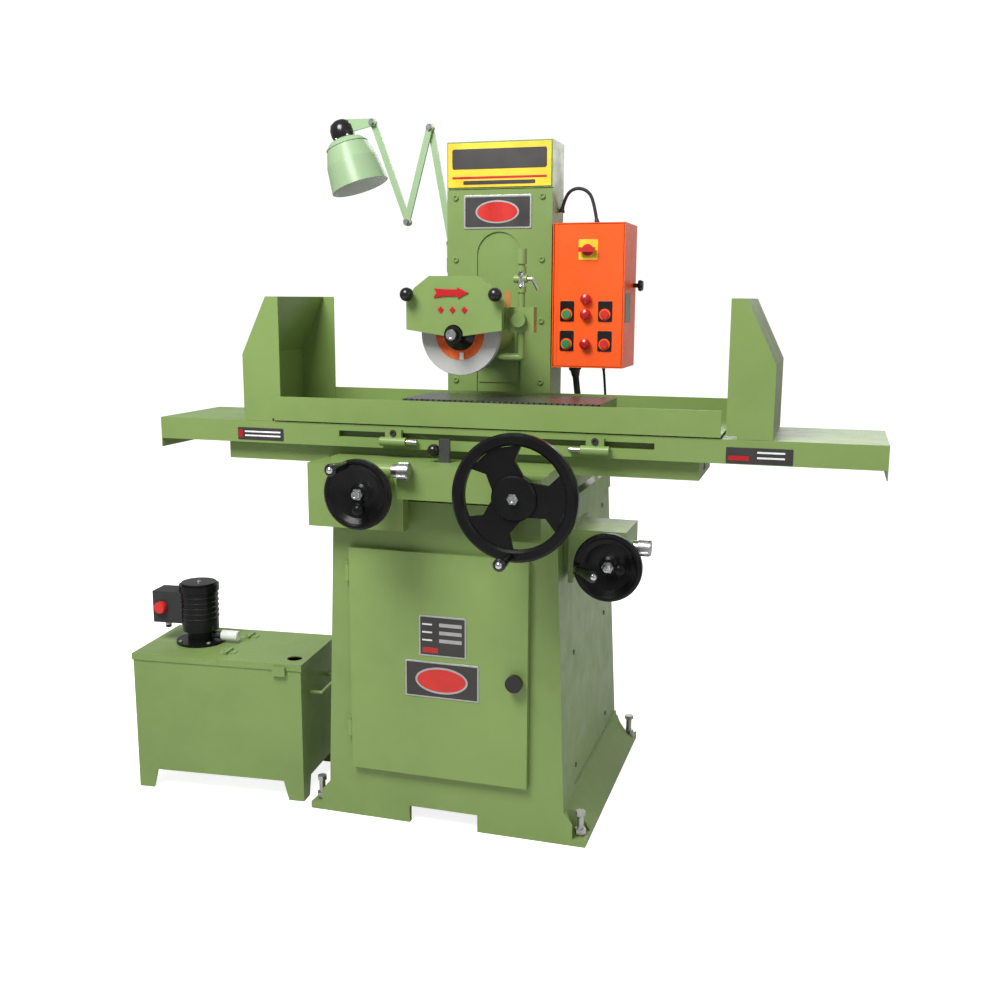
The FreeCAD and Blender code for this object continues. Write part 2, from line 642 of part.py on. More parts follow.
def table_rack():
    start = float(back(dim.rack_slot_y) + (dim.rack_slot_width - dim.rack_width) / 2)
    return solid_of(extruded(rack_outline(), start, start + float(dim.rack_width)), "rack")


node("table_casting", group(table_casting(), table_rack()))


def wing_cover(side):
    """Folded sheet that carries the table's length on over the end of the saddle."""
    middle = dim.table_rest
    inner, outer = middle + side * dim.table_half, middle + side * dim.wing_half
    sheet_thick = dim.wing_sheet
    x = (min(inner, outer), max(inner, outer))
    y = (back(dim.table_front), back(dim.table_front + dim.table_depth))
    end = (x[0], x[0] + sheet_thick) if side < 0 else (x[1] - sheet_thick, x[1])
    top = dim.table_top
    return join(
        block(x, y, (top - sheet_thick, top)),
        block(x, (y[0], y[0] + sheet_thick), (dim.table_bottom, top)),
        block(x, (y[1] - sheet_thick, y[1]), (dim.table_bottom, top)),
        block(end, y, (dim.table_bottom - dim.wing_end_drop, top)))


node("wing_covers", group(wing_cover(-1), wing_cover(1)))


def splash_tray():
    middle = dim.table_rest + dim.tray_shift
    thick = dim.tray_sheet
    x = (middle - dim.tray_half, middle + dim.tray_half)
    y = (back(dim.tray_front), back(dim.tray_front + dim.tray_depth))
    z = (dim.tray_low, dim.tray_high)
    tray = cut(block(x, y, z), block((x[0] - 1, x[1] + 1), (y[0] + thick, y[1] - thick), (z[0] + thick, z[1] + 1)))
    foot = block((dim.table_rest - dim.table_half, dim.table_rest + dim.table_half),
                 (back(dim.table_front + 30), back(dim.table_front + dim.table_depth - 30)),
                 (dim.table_top, dim.tray_low))
    return join(tray, foot)


node("splash_tray", splash_tray())


def splash_guard(side):
    """End guard: front and back plates with a folded outer wall, standing on the wing cover."""
    middle = dim.table_rest
    thick = dim.guard_sheet
    seat = dim.table_top + dim.slide_gap
    z = (dim.guard_low, dim.guard_kink, dim.guard_high)
    outer, top = middle + side * dim.guard_half, middle + side * dim.guard_top_half
    inner = middle + side * dim.guard_inner
    step = outer - side * dim.guard_foot
    plate = [(inner, z[0]), (step, z[0]), (step, seat), (outer, seat), (outer, z[1]), (top, z[2]), (inner, z[2])]
    wall = [(outer, seat), (outer, z[1]), (top, z[2]), (top - side * thick, z[2]),
            (outer - side * thick, z[1]), (outer - side * thick, seat)]
    y = (back(dim.tray_front + dim.tray_sheet), back(dim.tray_front + dim.tray_depth - dim.tray_sheet))
    foot_x = (outer, step) if side < 0 else (step, outer)
    return join(
        prism("XZ", plate, (y[0], y[0] + thick)),
        prism("XZ", plate, (y[1] - thick, y[1])),
        prism("XZ", wall, (y[0], y[1])),
        block(foot_x, y, (seat, seat + thick)))


node("left_guard", splash_guard(-1))
node("right_guard", splash_guard(1))


def magnetic_chuck():
    middle = dim.table_rest
    x = (middle - dim.chuck_half, middle + dim.chuck_half)
    y = (back(dim.chuck_front), back(dim.chuck_front + dim.chuck_depth))
    body = block(x, y, (dim.chuck_low, dim.chuck_high))
    ledges = [block((a, b), y, (dim.chuck_low, dim.chuck_low + 12)) for a, b in
              ((x[0] - 14, x[0]), (x[1], x[1] + 14))]
    key = rod("y", 22, (y[0] - 10, y[0]), (x[1] - 60, (dim.chuck_low + dim.chuck_high) / 2))
    return join(body, key, *ledges)


node("magnetic_chuck", magnetic_chuck())


def trip_dog(offset, side):
    """Clamped block with a sprung plunger that points at the stop lever."""
    x = dim.table_rest + offset
    front = back(dim.table_front)
    y = (front - dim.dog_thick - 0.3, front - 0.3)
    width = dim.dog_width
    z_top = dim.slot_high + 8
    plate = block((x - width / 2, x + width / 2), y, (dim.dog_drop + 6, z_top))
    stem = rod("y", 11, (y[0] + 2, front + dim.slot_deep + 3), (x, (dim.slot_low + dim.slot_high) / 2))
    nut = block((x - 14, x + 14), (front + dim.slot_deep + 0.4, front + dim.slot_deep + 8),
                (dim.slot_low - 3, dim.slot_high + 3))
    length = dim.dog_barrel_length
    z = dim.dog_drop + 8
    barrel_y = y[0] + 2
    barrel = rod("x", dim.dog_barrel, (x - length / 2, x + length / 2), (barrel_y, z))
    if side < 0:
        pin = rod("x", dim.plunger, (x + length / 2 - 2, x + length / 2 + dim.plunger_reach), (barrel_y, z))
    else:
        pin = rod("x", dim.plunger, (x - length / 2 - dim.plunger_reach, x - length / 2 + 2), (barrel_y, z))
    clear = block((x - length, x + length), (front - 0.3, front + 30), (dim.dog_drop - 20, z_top + 5))
    return join(cut(join(plate, barrel, pin), clear), stem, nut)


node("left_dog", trip_dog(dim.left_dog, -1))
node("right_dog", trip_dog(dim.right_dog, 1))


def stop_lever():
    x, y = dim.stop_x, back(dim.stop_y)
    low = dim.saddle_top + 0.3
    thick = dim.stop_thick
    width = dim.stop_width
    post = block((x - width / 2, x + width / 2), (y, y + thick), (low, dim.saddle_top + dim.stop_height))
    ball_x = x - width / 2 - 8
    pivot = rod("z", dim.stop_pin, (dim.saddle_top - 20, low + 1), (x, y + thick / 2))
    return join(post, pivot, rod("x", 6, (ball_x, x), (y + thick / 2, low + 27)),
                ball(dim.stop_ball, ball_x - 6, y + thick / 2, low + 27, 200))


node("stop_lever", stop_lever())


# ------------------------------------------------------------------ handwheels

def gear_outline(teeth, module, x, z, turn):
    """Simplified gear teeth with straight flanks and ample backlash."""
    radius = module * teeth / 2
    tip, root = radius + 0.9 * module, radius - 1.25 * module
    points = []
    for number in range(teeth):
        middle = turn + 2 * math.pi * number / teeth
        for reach, width in ((root, 0.95), (tip, 0.42), (tip, -0.42), (root, -0.95)):
            angle = middle - width * module / reach
            points.append((x + reach * math.cos(angle), z + reach * math.sin(angle)))
    return points


def traverse_handwheel():
    y = back(dim.traverse_y)
    centre = (dim.traverse_x, dim.traverse_z)
    rim_thick = dim.traverse_rim_thick
    rim_middle = dim.traverse_radius - dim.traverse_rim / 2
    outer = dim.traverse_radius
    inner = outer - dim.traverse_rim
    half = rim_thick / 2
    rim = turned("y", [(inner, -half + 5), (inner + 5, -half), (outer - 6, -half), (outer, -half + 6),
                       (outer, half - 6), (outer - 6, half), (inner + 5, half), (inner, half - 5)], y, centre)
    hub = turned("y", [(0, -half - 2), (dim.traverse_hub - 4, -half - 2), (dim.traverse_hub, -half + 2),
                       (dim.traverse_hub, half + 2), (dim.traverse_hub / 2, dim.traverse_hub_length - half),
                       (0, dim.traverse_hub_length - half)], y, centre)
    spokes = []
    for number in range(3):
        angle = dim.spoke_angle + 120 * number
        spoke = spoke_plate(inner + 3)
        spokes.append(spin(spoke, dim.traverse_x, y, dim.traverse_z, angle))
    bore = rod("y", dim.shaft, (y - 60, y + 80), centre)
    return cut(join(rim, hub, *spokes), bore, handle_hole(centre, y, rim_middle, dim.traverse_handle_angle))


def spoke_plate(reach):
    """Web from the hub to the rim along +X: waisted near the hub, flared into the rim."""
    half = dim.spoke_thick / 2
    hub = dim.traverse_hub * 0.9
    reach_x = reach * cosine(33)
    reach_z = reach * sine(33)
    waist = dim.traverse_hub * 0.52
    outline = [(hub * 0.5, -waist * 1.5), (reach * 0.62, -waist * 1.35), (reach_x, -reach_z),
               (reach, 0), (reach_x, reach_z), (reach * 0.62, waist * 1.35), (hub * 0.5, waist * 1.5)]
    return prism("XZ", outline, (-half, half))


def handle_hole(centre, y, radius, angle):
    x = centre[0] + radius * cosine(angle)
    z = centre[1] + radius * sine(angle)
    return rod("y", 10 + 2 * dim.fit_clearance, (y - 40, y + 40), (x, z))


node("traverse_handwheel", traverse_handwheel())


def handle(centre, y, rim_half, radius, angle):
    """Revolving grip: a spindle through the rim, a flared grip and an end cap."""
    x = centre[0] + radius * cosine(angle)
    z = centre[1] + radius * sine(angle)
    start = y - rim_half - 1
    length = dim.handle_length
    spindle = rod("y", 10, (start - length + 4, y + rim_half + 2), (x, z))
    grip = turned("y", [(0, -length), (dim.handle_big / 2 - 4, -length), (dim.handle_big / 2, -length + 4),
                        (dim.handle_big / 2, -length + 12), (dim.handle_small / 2 + 1, -length * 0.35),
                        (dim.handle_small / 2, 0), (0, 0)], start, (x, z))
    clip = rod("y", 15, (y + rim_half + 0.5, y + rim_half + 4), (x, z))
    return join(spindle, grip, clip)


TRAVERSE_CENTRE = (dim.traverse_x, dim.traverse_z)
node("traverse_handle", handle(TRAVERSE_CENTRE, back(dim.traverse_y), dim.traverse_rim_thick / 2,
                               dim.traverse_radius - dim.traverse_rim / 2, dim.traverse_handle_angle))


def traverse_shaft():
    centre = TRAVERSE_CENTRE
    front = back(dim.traverse_y) - dim.traverse_rim_thick / 2 - 8
    pinion_y = back(dim.rack_slot_y) + 3
    rear = pinion_y + dim.rack_slot_width - 6
    shaft = rod("y", dim.shaft, (front, rear), centre)
    nut = hexagon("y", 22, (front, front + 5.8), centre)
    outline = gear_outline(int(dim.pinion_teeth), float(dim.rack_module), float(centre[0]), float(centre[1]),
                           math.pi / 2 + math.pi / int(dim.pinion_teeth))
    pinion = solid_of(extruded(outline, float(pinion_y), float(rear)), "pinion")
    return join(shaft, nut, pinion)


node("traverse_shaft", traverse_shaft())


def small_handwheel(x, y, z, angle, reach, handle_seat):
    """Dished handwheel whose hub lies behind its rim."""
    centre = (x, z)
    outer = dim.small_radius
    inner = outer - dim.small_rim
    half = dim.small_rim_thick / 2
    dish = turned("y", [(0, half - 6), (dim.small_hub / 2, half - 6), (dim.small_hub / 2 + 6, half - 2),
                        (inner - 12, 0), (inner, -half + 4), (inner + 4, -half), (outer - 5, -half),
                        (outer, -half + 5), (outer, half - 5), (outer - 5, half), (inner, half),
                        (inner - 8, half - 1), (dim.small_hub / 2 + 4, half + 6), (0, half + 6)], y, centre)
    ball_angle = angle + 180
    bx = x + dim.wheel_ball_offset * cosine(ball_angle)
    bz = z + dim.wheel_ball_offset * sine(ball_angle)
    knob = join(rod("y", 9, (y - half - 8, y + half), (bx, bz)), ball(dim.wheel_ball, bx, y - half - 12, bz))
    bore = rod("y", dim.shaft, (y - 30, y + 40), centre)
    if handle_seat == "bored":
        return join(cut(dish, bore, handle_hole(centre, y, reach, angle)), knob)
    return join(cut(dish, bore), knob, *fold_ears())


def fold_point():
    """Where the pin of the folding handle is."""
    angle = dim.feed_handle_angle
    return (dim.feed_x + HANDLE_REACH * cosine(angle), back(dim.feed_y) - dim.small_rim_thick / 2 - 8,
            dim.feed_z + HANDLE_REACH * sine(angle))


def fold_ears():
    x, y, z = fold_point()
    half = dim.fold_eye / 2
    ears = [block((x - 6, x + 6), (y - 6, y + 12), ends)
            for ends in ((z - half - 4.3, z - half - 0.3), (z + half + 0.3, z + half + 4.3))]
    return [*ears, rod("z", dim.fold_pin, (z - half - 4, z + half + 4), (x, y))]


HANDLE_REACH = dim.small_radius - dim.small_rim / 2 - 3
for name, spot, angle, seat in (("cross", CROSS, dim.cross_handle_angle, "bored"),
                                ("feed", FEED, dim.feed_handle_angle, "folding")):
    node(name + "_handwheel", small_handwheel(*spot[:3], angle, HANDLE_REACH, seat))
node("cross_handle", handle((dim.cross_x, dim.cross_z), back(dim.cross_y), dim.small_rim_thick / 2,
                            HANDLE_REACH, dim.cross_handle_angle))


def feed_handle():
    """Folding grip, partly folded in towards the hub about a pin on the rim."""
    x, y, z = fold_point()
    length = dim.handle_length
    half = dim.fold_eye / 2
    grip = turned("y", [(0, -length), (dim.handle_big / 2 - 4, -length), (dim.handle_big / 2, -length + 4),
                        (dim.handle_big / 2, -length + 12), (dim.handle_small / 2 + 1, -length * 0.35),
                        (dim.handle_small / 2, -10), (4.5, -10), (4.5, -4), (0, -4)],
                  y, (x, z))
    eye = rod("z", 12, (z - half, z + half), (x, y))
    hole = rod("z", dim.fold_pin + 2 * dim.fit_clearance, (z - half - 1, z + half + 1), (x, y))
    return around(x, y, z, Vector(0, 0, 1), dim.feed_handle_fold, cut(join(grip, eye), hole))


node("feed_handle", feed_handle())


def cross_feed_screw():
    centre = (dim.cross_x, dim.cross_z)
    y = back(dim.cross_y)
    front = y - 6
    shaft = rod("y", dim.shaft, (front - 6, back(-dim.cheek_reach)), centre)
    screw = rod("y", dim.screw, (back(-dim.cheek_reach), back(dim.cavity_back - 5)), centre)
    nut = hexagon("y", 24, (front, y + dim.small_rim_thick / 2 - 6.2), centre)
    return join(shaft, screw, nut)


node("cross_feed_screw", cross_feed_screw())


# ------------------------------------------------------------------ down feed

def feed_housing():
    """Gear box bolted to the right side of the base, with the handwheel's sleeve on its front."""
    z = (dim.feed_box_low, dim.feed_box_high)
    y = (back(dim.feed_box_front), back(dim.feed_box_back))
    left, right = dim.feed_box_left, dim.feed_box_right
    flange = block((left, left + dim.feed_flange), (y[0], y[1] + 20), (z[0] - 14, z[1] + 8))
    shell = cut(block((left, right), y, z),
                block((left + dim.feed_flange, right - 8), (y[0] + 8, y[1] - 8), (z[0] + 8, z[1] - 8)))
    box = join(shell, flange)
    in_bore = rod("y", dim.shaft + 2 * dim.fit_clearance, (y[0] - 1, y[0] + 9), (dim.feed_x, dim.feed_z))
    out_bore = rod("x", dim.shaft + 2 * dim.fit_clearance, (left - 1, left + dim.feed_flange + 1),
                   (back(dim.drive_y), dim.feed_z))
    sleeve = fine_feed_case(*FEED)
    return cut(join(box, sleeve), in_bore, out_bore)


node("feed_housing", feed_housing())
node("feed_fine_knob", fine_feed_knob(*FEED))


def bevel_gear(axis, start, end, centre, length):
    """Plain pitch cone of a mitre gear, its small end at end."""
    if start < end:
        return cone(axis, dim.bevel * 2 - 2, dim.bevel * 2 - 2 - 2 * length, (start, end), centre)
    return cone(axis, dim.bevel * 2 - 2 - 2 * length, dim.bevel * 2 - 2, (end, start), centre)


def feed_shaft():
    centre = (dim.feed_x, dim.feed_z)
    y = back(dim.feed_y)
    gear_y = back(dim.drive_y) - dim.bevel
    depth = dim.bevel_depth
    shaft = rod("y", dim.shaft, (y - 12, gear_y + depth), centre)
    nut = hexagon("y", 24, (y - 6, y + dim.small_rim_thick / 2 - 6.2), centre)
    gear = bevel_gear("y", gear_y, gear_y + depth, centre, depth)
    return join(shaft, nut, gear)


node("feed_shaft", feed_shaft())


def cross_drive_shaft():
    """Horizontal shaft from the gear box into the base, a mitre gear on each end."""
    centre = (back(dim.drive_y), dim.feed_z)
    depth = dim.bevel_depth
    right = dim.feed_x - dim.bevel
    left = dim.drive_x + dim.bevel
    shaft = rod("x", dim.shaft, (left - depth, right + depth), centre)
    return join(shaft, bevel_gear("x", right, right + depth, centre, depth),
                bevel_gear("x", left, left - depth, centre, depth))


node("cross_drive_shaft", cross_drive_shaft())


def rear_drive_shaft():
    """Shaft that runs back under the column, a mitre gear on each end."""
    centre = (dim.drive_x, dim.feed_z)
    depth = dim.bevel_depth
    front = back(dim.drive_y) + dim.bevel
    rear = column_middle() - dim.bevel
    shaft = rod("y", dim.shaft, (front - depth, rear + depth), centre)
    return join(shaft, bevel_gear("y", front, front - depth, centre, depth),
                bevel_gear("y", rear, rear + depth, centre, depth))


node("rear_drive_shaft", rear_drive_shaft())


def elevating_screw():
    centre = (dim.drive_x, column_middle())
    low = dim.feed_z + dim.bevel
    depth = dim.bevel_depth
    screw = rod("z", dim.screw, (low - depth, dim.slot_top), centre)
    collar = rod("z", dim.screw + 14, (dim.base_height + 1, dim.base_height + 13), centre)
    return join(screw, collar, bevel_gear("z", low, low - depth, centre, depth))


node("elevating_screw", elevating_screw())


# ------------------------------------------------------------------ column

def column_casting():
    half, wall = dim.column_half, dim.column_wall
    cover = back(dim.column_front + dim.cover_thick)
    y = (back(dim.column_front), back(dim.column_front + dim.column_depth))
    shaft = join(block((-half, half), (cover, y[1]), (dim.base_height, dim.column_top)),
                 block((-half, half), (y[0], cover), (dim.cover_top + 2, dim.column_top)))
    hollow = block((wall - half, half - wall), (cover + wall, y[1] - wall),
                   (dim.base_height - 1, dim.column_top - wall))
    slot = block((-dim.slot_half, dim.slot_half), (y[0] - 1, y[1] + 1), (dim.slot_bottom, dim.slot_top))
    return cut(shaft, hollow, slot)


node("column_casting", column_casting())


def column_cover():
    """Front plate of the column, with the wheelhead's arched opening and a pocket for its way plate."""
    half = dim.column_half
    y = (back(dim.column_front), back(dim.column_front + dim.cover_thick))
    plate = block((-half, half), y, (dim.base_height, dim.cover_top))
    spring = dim.slot_top - dim.slot_half
    opening = join(block((-dim.slot_half, dim.slot_half), (y[0] - 1, y[1] + 1), (dim.slot_bottom, spring)),
                   rod("y", dim.slot_half * 2, (y[0] - 1, y[1] + 1), (0, spring)))
    side = dim.way_plate_half + 1
    pocket = block((-side, side), (y[0] + dim.cover_front, y[1] + 1), (dim.base_height - 1, dim.cover_top + 1))
    return cut(plate, opening, pocket)


node("column_cover", column_cover())


# ------------------------------------------------------------------ wheelhead

def wheelhead():
    z = dim.spindle_z
    half = dim.head_half
    wall, gap = dim.column_wall, dim.slide_gap
    front = back(dim.column_front + dim.cover_thick) + wall + gap
    rear = back(dim.column_front + dim.column_depth) - wall - gap
    plate_z = (dim.head_plate_low, dim.head_plate_high)
    nose = rod("y", dim.head_round * 2, (back(dim.head_nose_y), back(dim.head_back)), (0, z))
    saddle_block = block((-half, half), (back(dim.column_front - 40), back(dim.head_back)), (z - 72, z + 64))
    guides = [block((-dim.head_plate_half, dim.head_plate_half), y, plate_z)
              for y in ((front, front + dim.head_plate), (rear - dim.head_plate, rear))]
    nut = block((half - 4, dim.head_plate_half), (front + dim.head_plate - 1, rear - dim.head_plate + 1),
                (z - 40, z + 40))
    apron = join(arch_plate(), way_plate())
    bore = rod("y", dim.spindle + 2 * dim.fit_clearance, (back(dim.head_nose_y) - 1, back(dim.head_back) + 1), (0, z))
    thread = rod("z", dim.screw + 2 * dim.nut_clearance, (plate_z[0] - 1, plate_z[1] + 1),
                 (dim.drive_x, column_middle()))
    return cut(join(nose, saddle_block, nut, apron, *guides), bore, thread)


def arch_plate():
    """Plate with an arched top that closes the column's opening above the wheelhead."""
    y = (back(dim.column_front + 1), back(dim.column_front + 1) + dim.arch_thick)
    half = dim.arch_half
    spring = dim.arch_top - half
    return join(block((-half, half), y, (dim.spindle_z - 140, spring)), rod("y", half * 2, y, (0, spring)))


def way_plate():
    """Sheet that rides behind the column's cover and keeps its opening closed."""
    face = back(dim.column_front + dim.cover_front) + dim.slide_gap
    return block((-dim.way_plate_half, dim.way_plate_half), (face, face + dim.way_plate),
                 (dim.way_plate_low, dim.way_plate_high))


node("wheelhead", wheelhead())


def head_motor():
    y = back(dim.head_back)
    centre = (0, dim.spindle_z)
    length, radius = dim.motor_length, dim.motor_radius
    shell = turned("y", [(0, 0), (radius, 0), (radius, length - 16), (radius - 16, length), (0, length)], y, centre)
    chamber = rod("y", dim.rotor * 2 + 1, (y + 12, y + length - 20), centre)
    bore = rod("y", dim.spindle + 2 * dim.fit_clearance, (y - 1, y + 13), centre)
    return cut(shell, chamber, bore)


node("head_motor", head_motor())


def spindle():
    centre = (0, dim.spindle_z)
    wheel = back(dim.wheel_y)
    half = dim.wheel_width / 2 + dim.blotter_thick
    motor = back(dim.head_back)
    flange = dim.flange_radius * 2
    return join(
        rod("y", dim.spindle, (back(dim.nose_nut_y) + 4, motor + 30), centre),
        rod("y", dim.wheel_bore, (wheel - half - 4, wheel + half + 4), centre),
        rod("y", flange, (wheel + half, wheel + half + 8), centre),
        cone("y", dim.hub * 2, flange, (wheel - half - 14, wheel - half), centre),
        rod("y", dim.hub * 2, (back(dim.nose_nut_y + 12), wheel - half - 13), centre),
        hexagon("y", 24, (back(dim.nose_nut_y), back(dim.nose_nut_y + 12)), centre),
        rod("y", dim.rotor * 2, (motor + 16, motor + dim.motor_length - 26), centre))


node("spindle", spindle())


def grinding_wheel():
    half = dim.wheel_width / 2
    paper = half + dim.blotter_thick
    bore = dim.wheel_bore / 2 + dim.fit_clearance
    disc, edge = dim.blotter_radius, dim.wheel_radius
    return turned("y", [(bore, -paper), (disc, -paper), (disc, -half), (edge - 1, -half), (edge, -half + 1),
                        (edge, half - 1), (edge - 1, half), (disc, half), (disc, paper), (bore, paper)],
                  back(dim.wheel_y), (0, dim.spindle_z))


node("grinding_wheel", grinding_wheel())


def wheel_guard():
    """Front plate, half ring and back plate round the upper half of the wheel."""
    z = dim.spindle_z
    front = (back(dim.guard_plate_y), back(dim.guard_plate_y) + dim.guard_plate)
    half, corner, shoulder = dim.guard_plate_half, dim.guard_corner, dim.guard_shoulder
    hub = dim.hub
    low, dip, side = dim.guard_plate_low, dim.guard_dip, dim.guard_side_z
    top, step = dim.guard_plate_top, dim.guard_shoulder_z
    plate = prism("XZ", [(-half, low), (-hub, dip), (hub, dip), (half, low), (half, side), (corner, step),
                         (shoulder, top), (-shoulder, top), (-corner, step), (-half, side)], front)
    rear = back(dim.guard_ring_back)
    ring = cut(rod("y", dim.guard_ring * 2, (front[1], rear), (0, z)),
               rod("y", dim.guard_ring * 2 - 10, (front[1] - 1, rear - 8), (0, z)),
               block((-half, half), (front[1] - 1, rear + 1), (z - half, low)))
    collar = rod("y", dim.head_round * 2 - 10, (rear - 8, rear), (0, z))
    boss = block((dim.guard_ring - 7, dim.pipe_block_left), (back(140), back(176)), (low, dim.pipe_block_high))
    trimmed_boss = cut(boss, rod("y", dim.guard_ring * 2 - 10, (back(130), back(180)), (0, z)))
    relief = rod("y", dim.hub_relief * 2, (front[0] - 1, front[1] + 1), (0, z))
    shaft_hole = rod("y", dim.spindle + 6, (rear - 9, rear + 1), (0, z))
    return cut(join(cut(plate, relief), ring, collar, trimmed_boss), shaft_hole)


def guard_knobs():
    front = back(dim.guard_plate_y)
    knobs = []
    for side in (-1, 1):
        x, z = side * dim.guard_knob_x, dim.guard_knob_z
        stem = rod("y", 14, (front - 12, front), (x, z))
        knobs.append(join(stem, ball(dim.guard_knob, x, front - 22, z)))
    return group(*knobs)


node("wheel_guard", group(wheel_guard(), guard_knobs()))


def coolant_pipe():
    x, y = dim.pipe_x, back(dim.pipe_y)
    pipe = dim.pipe
    bottom = dim.elbow_z
    left, right = dim.pipe_block_left, dim.pipe_block_right
    return join(
        rod("z", pipe, (bottom, dim.pipe_top), (x, y)),
        rod("z", dim.hose, (dim.pipe_top, dim.hose_top), (x, y)),
        ball(pipe, x, y, bottom),
        rod("x", pipe, (dim.nozzle_tip + 16, x), (y, bottom)),
        cone("x", 10, pipe, (dim.nozzle_tip, dim.nozzle_tip + 16), (y, bottom)),
        rod("z", dim.valve + 4, (dim.valve_low, dim.valve_low + 14), (x, y)),
        rod("z", dim.valve + 4, (dim.valve_high - 14, dim.valve_high), (x, y)),
        rod("x", dim.valve, (x - 18, x + 14), (y, dim.valve_lever_z)),
        block((left, right), (y - 12, y + 18), (dim.pipe_block_low, dim.pipe_block_high)),
        rod("y", 34, (y - 30, y - 12), (x, (dim.pipe_block_low + dim.pipe_block_high) / 2)))


node("coolant_pipe", coolant_pipe())


def valve_lever():
    x, y, z = dim.pipe_x + 14, back(dim.pipe_y), dim.valve_lever_z
    return join(rod("x", 9, (x, x + 12), (y, z)),
                ball(9, x + 12, y, z),
                spin(rod("x", 8, (0, 30), (0, 0)), x + 12, y, z, -60))


node("valve_lever", valve_lever())


# ------------------------------------------------------------------ control box

def control_box_shell():
    sheet_thick = dim.box_sheet
    x = (dim.box_left, dim.box_right)
    y = (back(dim.box_front), back(dim.box_back))
    z = (dim.box_low, dim.box_high)
    shell = cut(block(x, y, z),
                block((x[0] + sheet_thick, x[1] - sheet_thick), (y[0] - 1, y[1] - sheet_thick),
                      (z[0] + sheet_thick, z[1] - sheet_thick)))
    pads = [block((dim.column_half, x[0]), (y[0] + 30, y[0] + 90), (low, low + 40))
            for low in (z[0] + 40, z[1] - 80)]
    pin = rod("z", dim.hinge_pin, (z[0] + dim.box_sheet, z[1] - dim.box_sheet),
              (x[0] + dim.panel_inset, y[0] + dim.panel_depth / 2))
    return join(shell, pin, *pads)


node("control_box_shell", control_box_shell())

BUTTONS = [("start_button_high", dim.button_left, dim.button_high),
           ("start_button_low", dim.button_left, dim.button_low),
           ("stop_button_high", dim.button_right, dim.button_high),
           ("stop_button_low", dim.button_right, dim.button_low)]


def control_box_door():
    """Panel set into the front of the box; it swings on a pin at its left edge."""
    gap = dim.box_sheet + 1.5
    x = (dim.box_left + dim.panel_inset - dim.hinge_pin / 2, dim.box_right - gap)
    z = (dim.box_low + gap, dim.box_high - gap)
    front = back(dim.box_front) + 0.5
    thick = dim.panel_thick
    panel = join(block(x, (front, front + thick), z),
                 rod("z", dim.hinge_pin + 5, z, (dim.box_left + dim.panel_inset,
                                                 back(dim.box_front) + dim.panel_depth / 2)))
    clear = dim.fit_clearance * 2
    holes = [rod("z", dim.hinge_pin + clear, (z[0] - 1, z[1] + 1),
                 (dim.box_left + dim.panel_inset, back(dim.box_front) + dim.panel_depth / 2))]
    rims = []
    for _, button_x, button_z in BUTTONS:
        spot = (button_x, button_z)
        holes.append(rod("y", dim.button + clear, (front - 9, front + thick + 9), spot))
        rims.append(rod("y", dim.bezel, (front - 6, front + thick + 8), spot))
    for lamp_z in (dim.button_low, dim.button_high, dim.button_high + 40):
        rims.append(rod("y", 28, (front - 8, front), ((dim.button_left + dim.button_right) / 2, lamp_z)))
    holes.append(rod("y", 14 + clear, (front - 3, front + thick + 1), (dim.switch_x, dim.switch_z)))
    return cut(join(panel, *rims), *holes)


node("control_box_door", control_box_door())


def push_button(x, z):
    front = back(dim.box_front) + 0.5
    travel = dim.button_travel
    cap = rod("y", dim.button, (front - 7 - travel, front + dim.panel_thick + 6), (x, z))
    retainer = rod("y", dim.button + 5, (front + dim.panel_thick + 8.2, front + dim.panel_thick + 10.2), (x, z))
    neck = rod("y", dim.button, (front + dim.panel_thick + 5, front + dim.panel_thick + 9), (x, z))
    return join(cap, neck, retainer)


for name, button_x, button_z in BUTTONS:
    node(name, push_button(button_x, button_z))


def isolator_switch():
    front = back(dim.box_front) + 0.5
    spot = (dim.switch_x, dim.switch_z)
    disc = rod("y", dim.switch * 0.7, (front - 10, front - 2.5), spot)
    bar = block((dim.switch_x - dim.switch / 2, dim.switch_x + dim.switch / 2), (front - 24, front - 9),
                (dim.switch_z - 6, dim.switch_z + 6))
    stem = rod("y", 14, (front - 4, front + dim.panel_thick + 6), spot)
    keeper = rod("y", 22, (front + dim.panel_thick + 0.2, front + dim.panel_thick + 6), spot)
    return join(disc, bar, stem, keeper)


node("isolator_switch", isolator_switch())


# ------------------------------------------------------------------ lamp

LAMP_BASE = (dim.lamp_base_x, dim.lamp_base_z + 30)
LAMP_ELBOW = (dim.lamp_elbow_x, dim.lamp_elbow_z)
LAMP_KNEE = (dim.lamp_knee_x, dim.lamp_knee_z)
LAMP_WRIST = (dim.lamp_wrist_x, dim.lamp_wrist_z)
OUTER_LAYER = back(dim.lamp_y)
INNER_LAYER = back(dim.lamp_y) - dim.arm_pitch


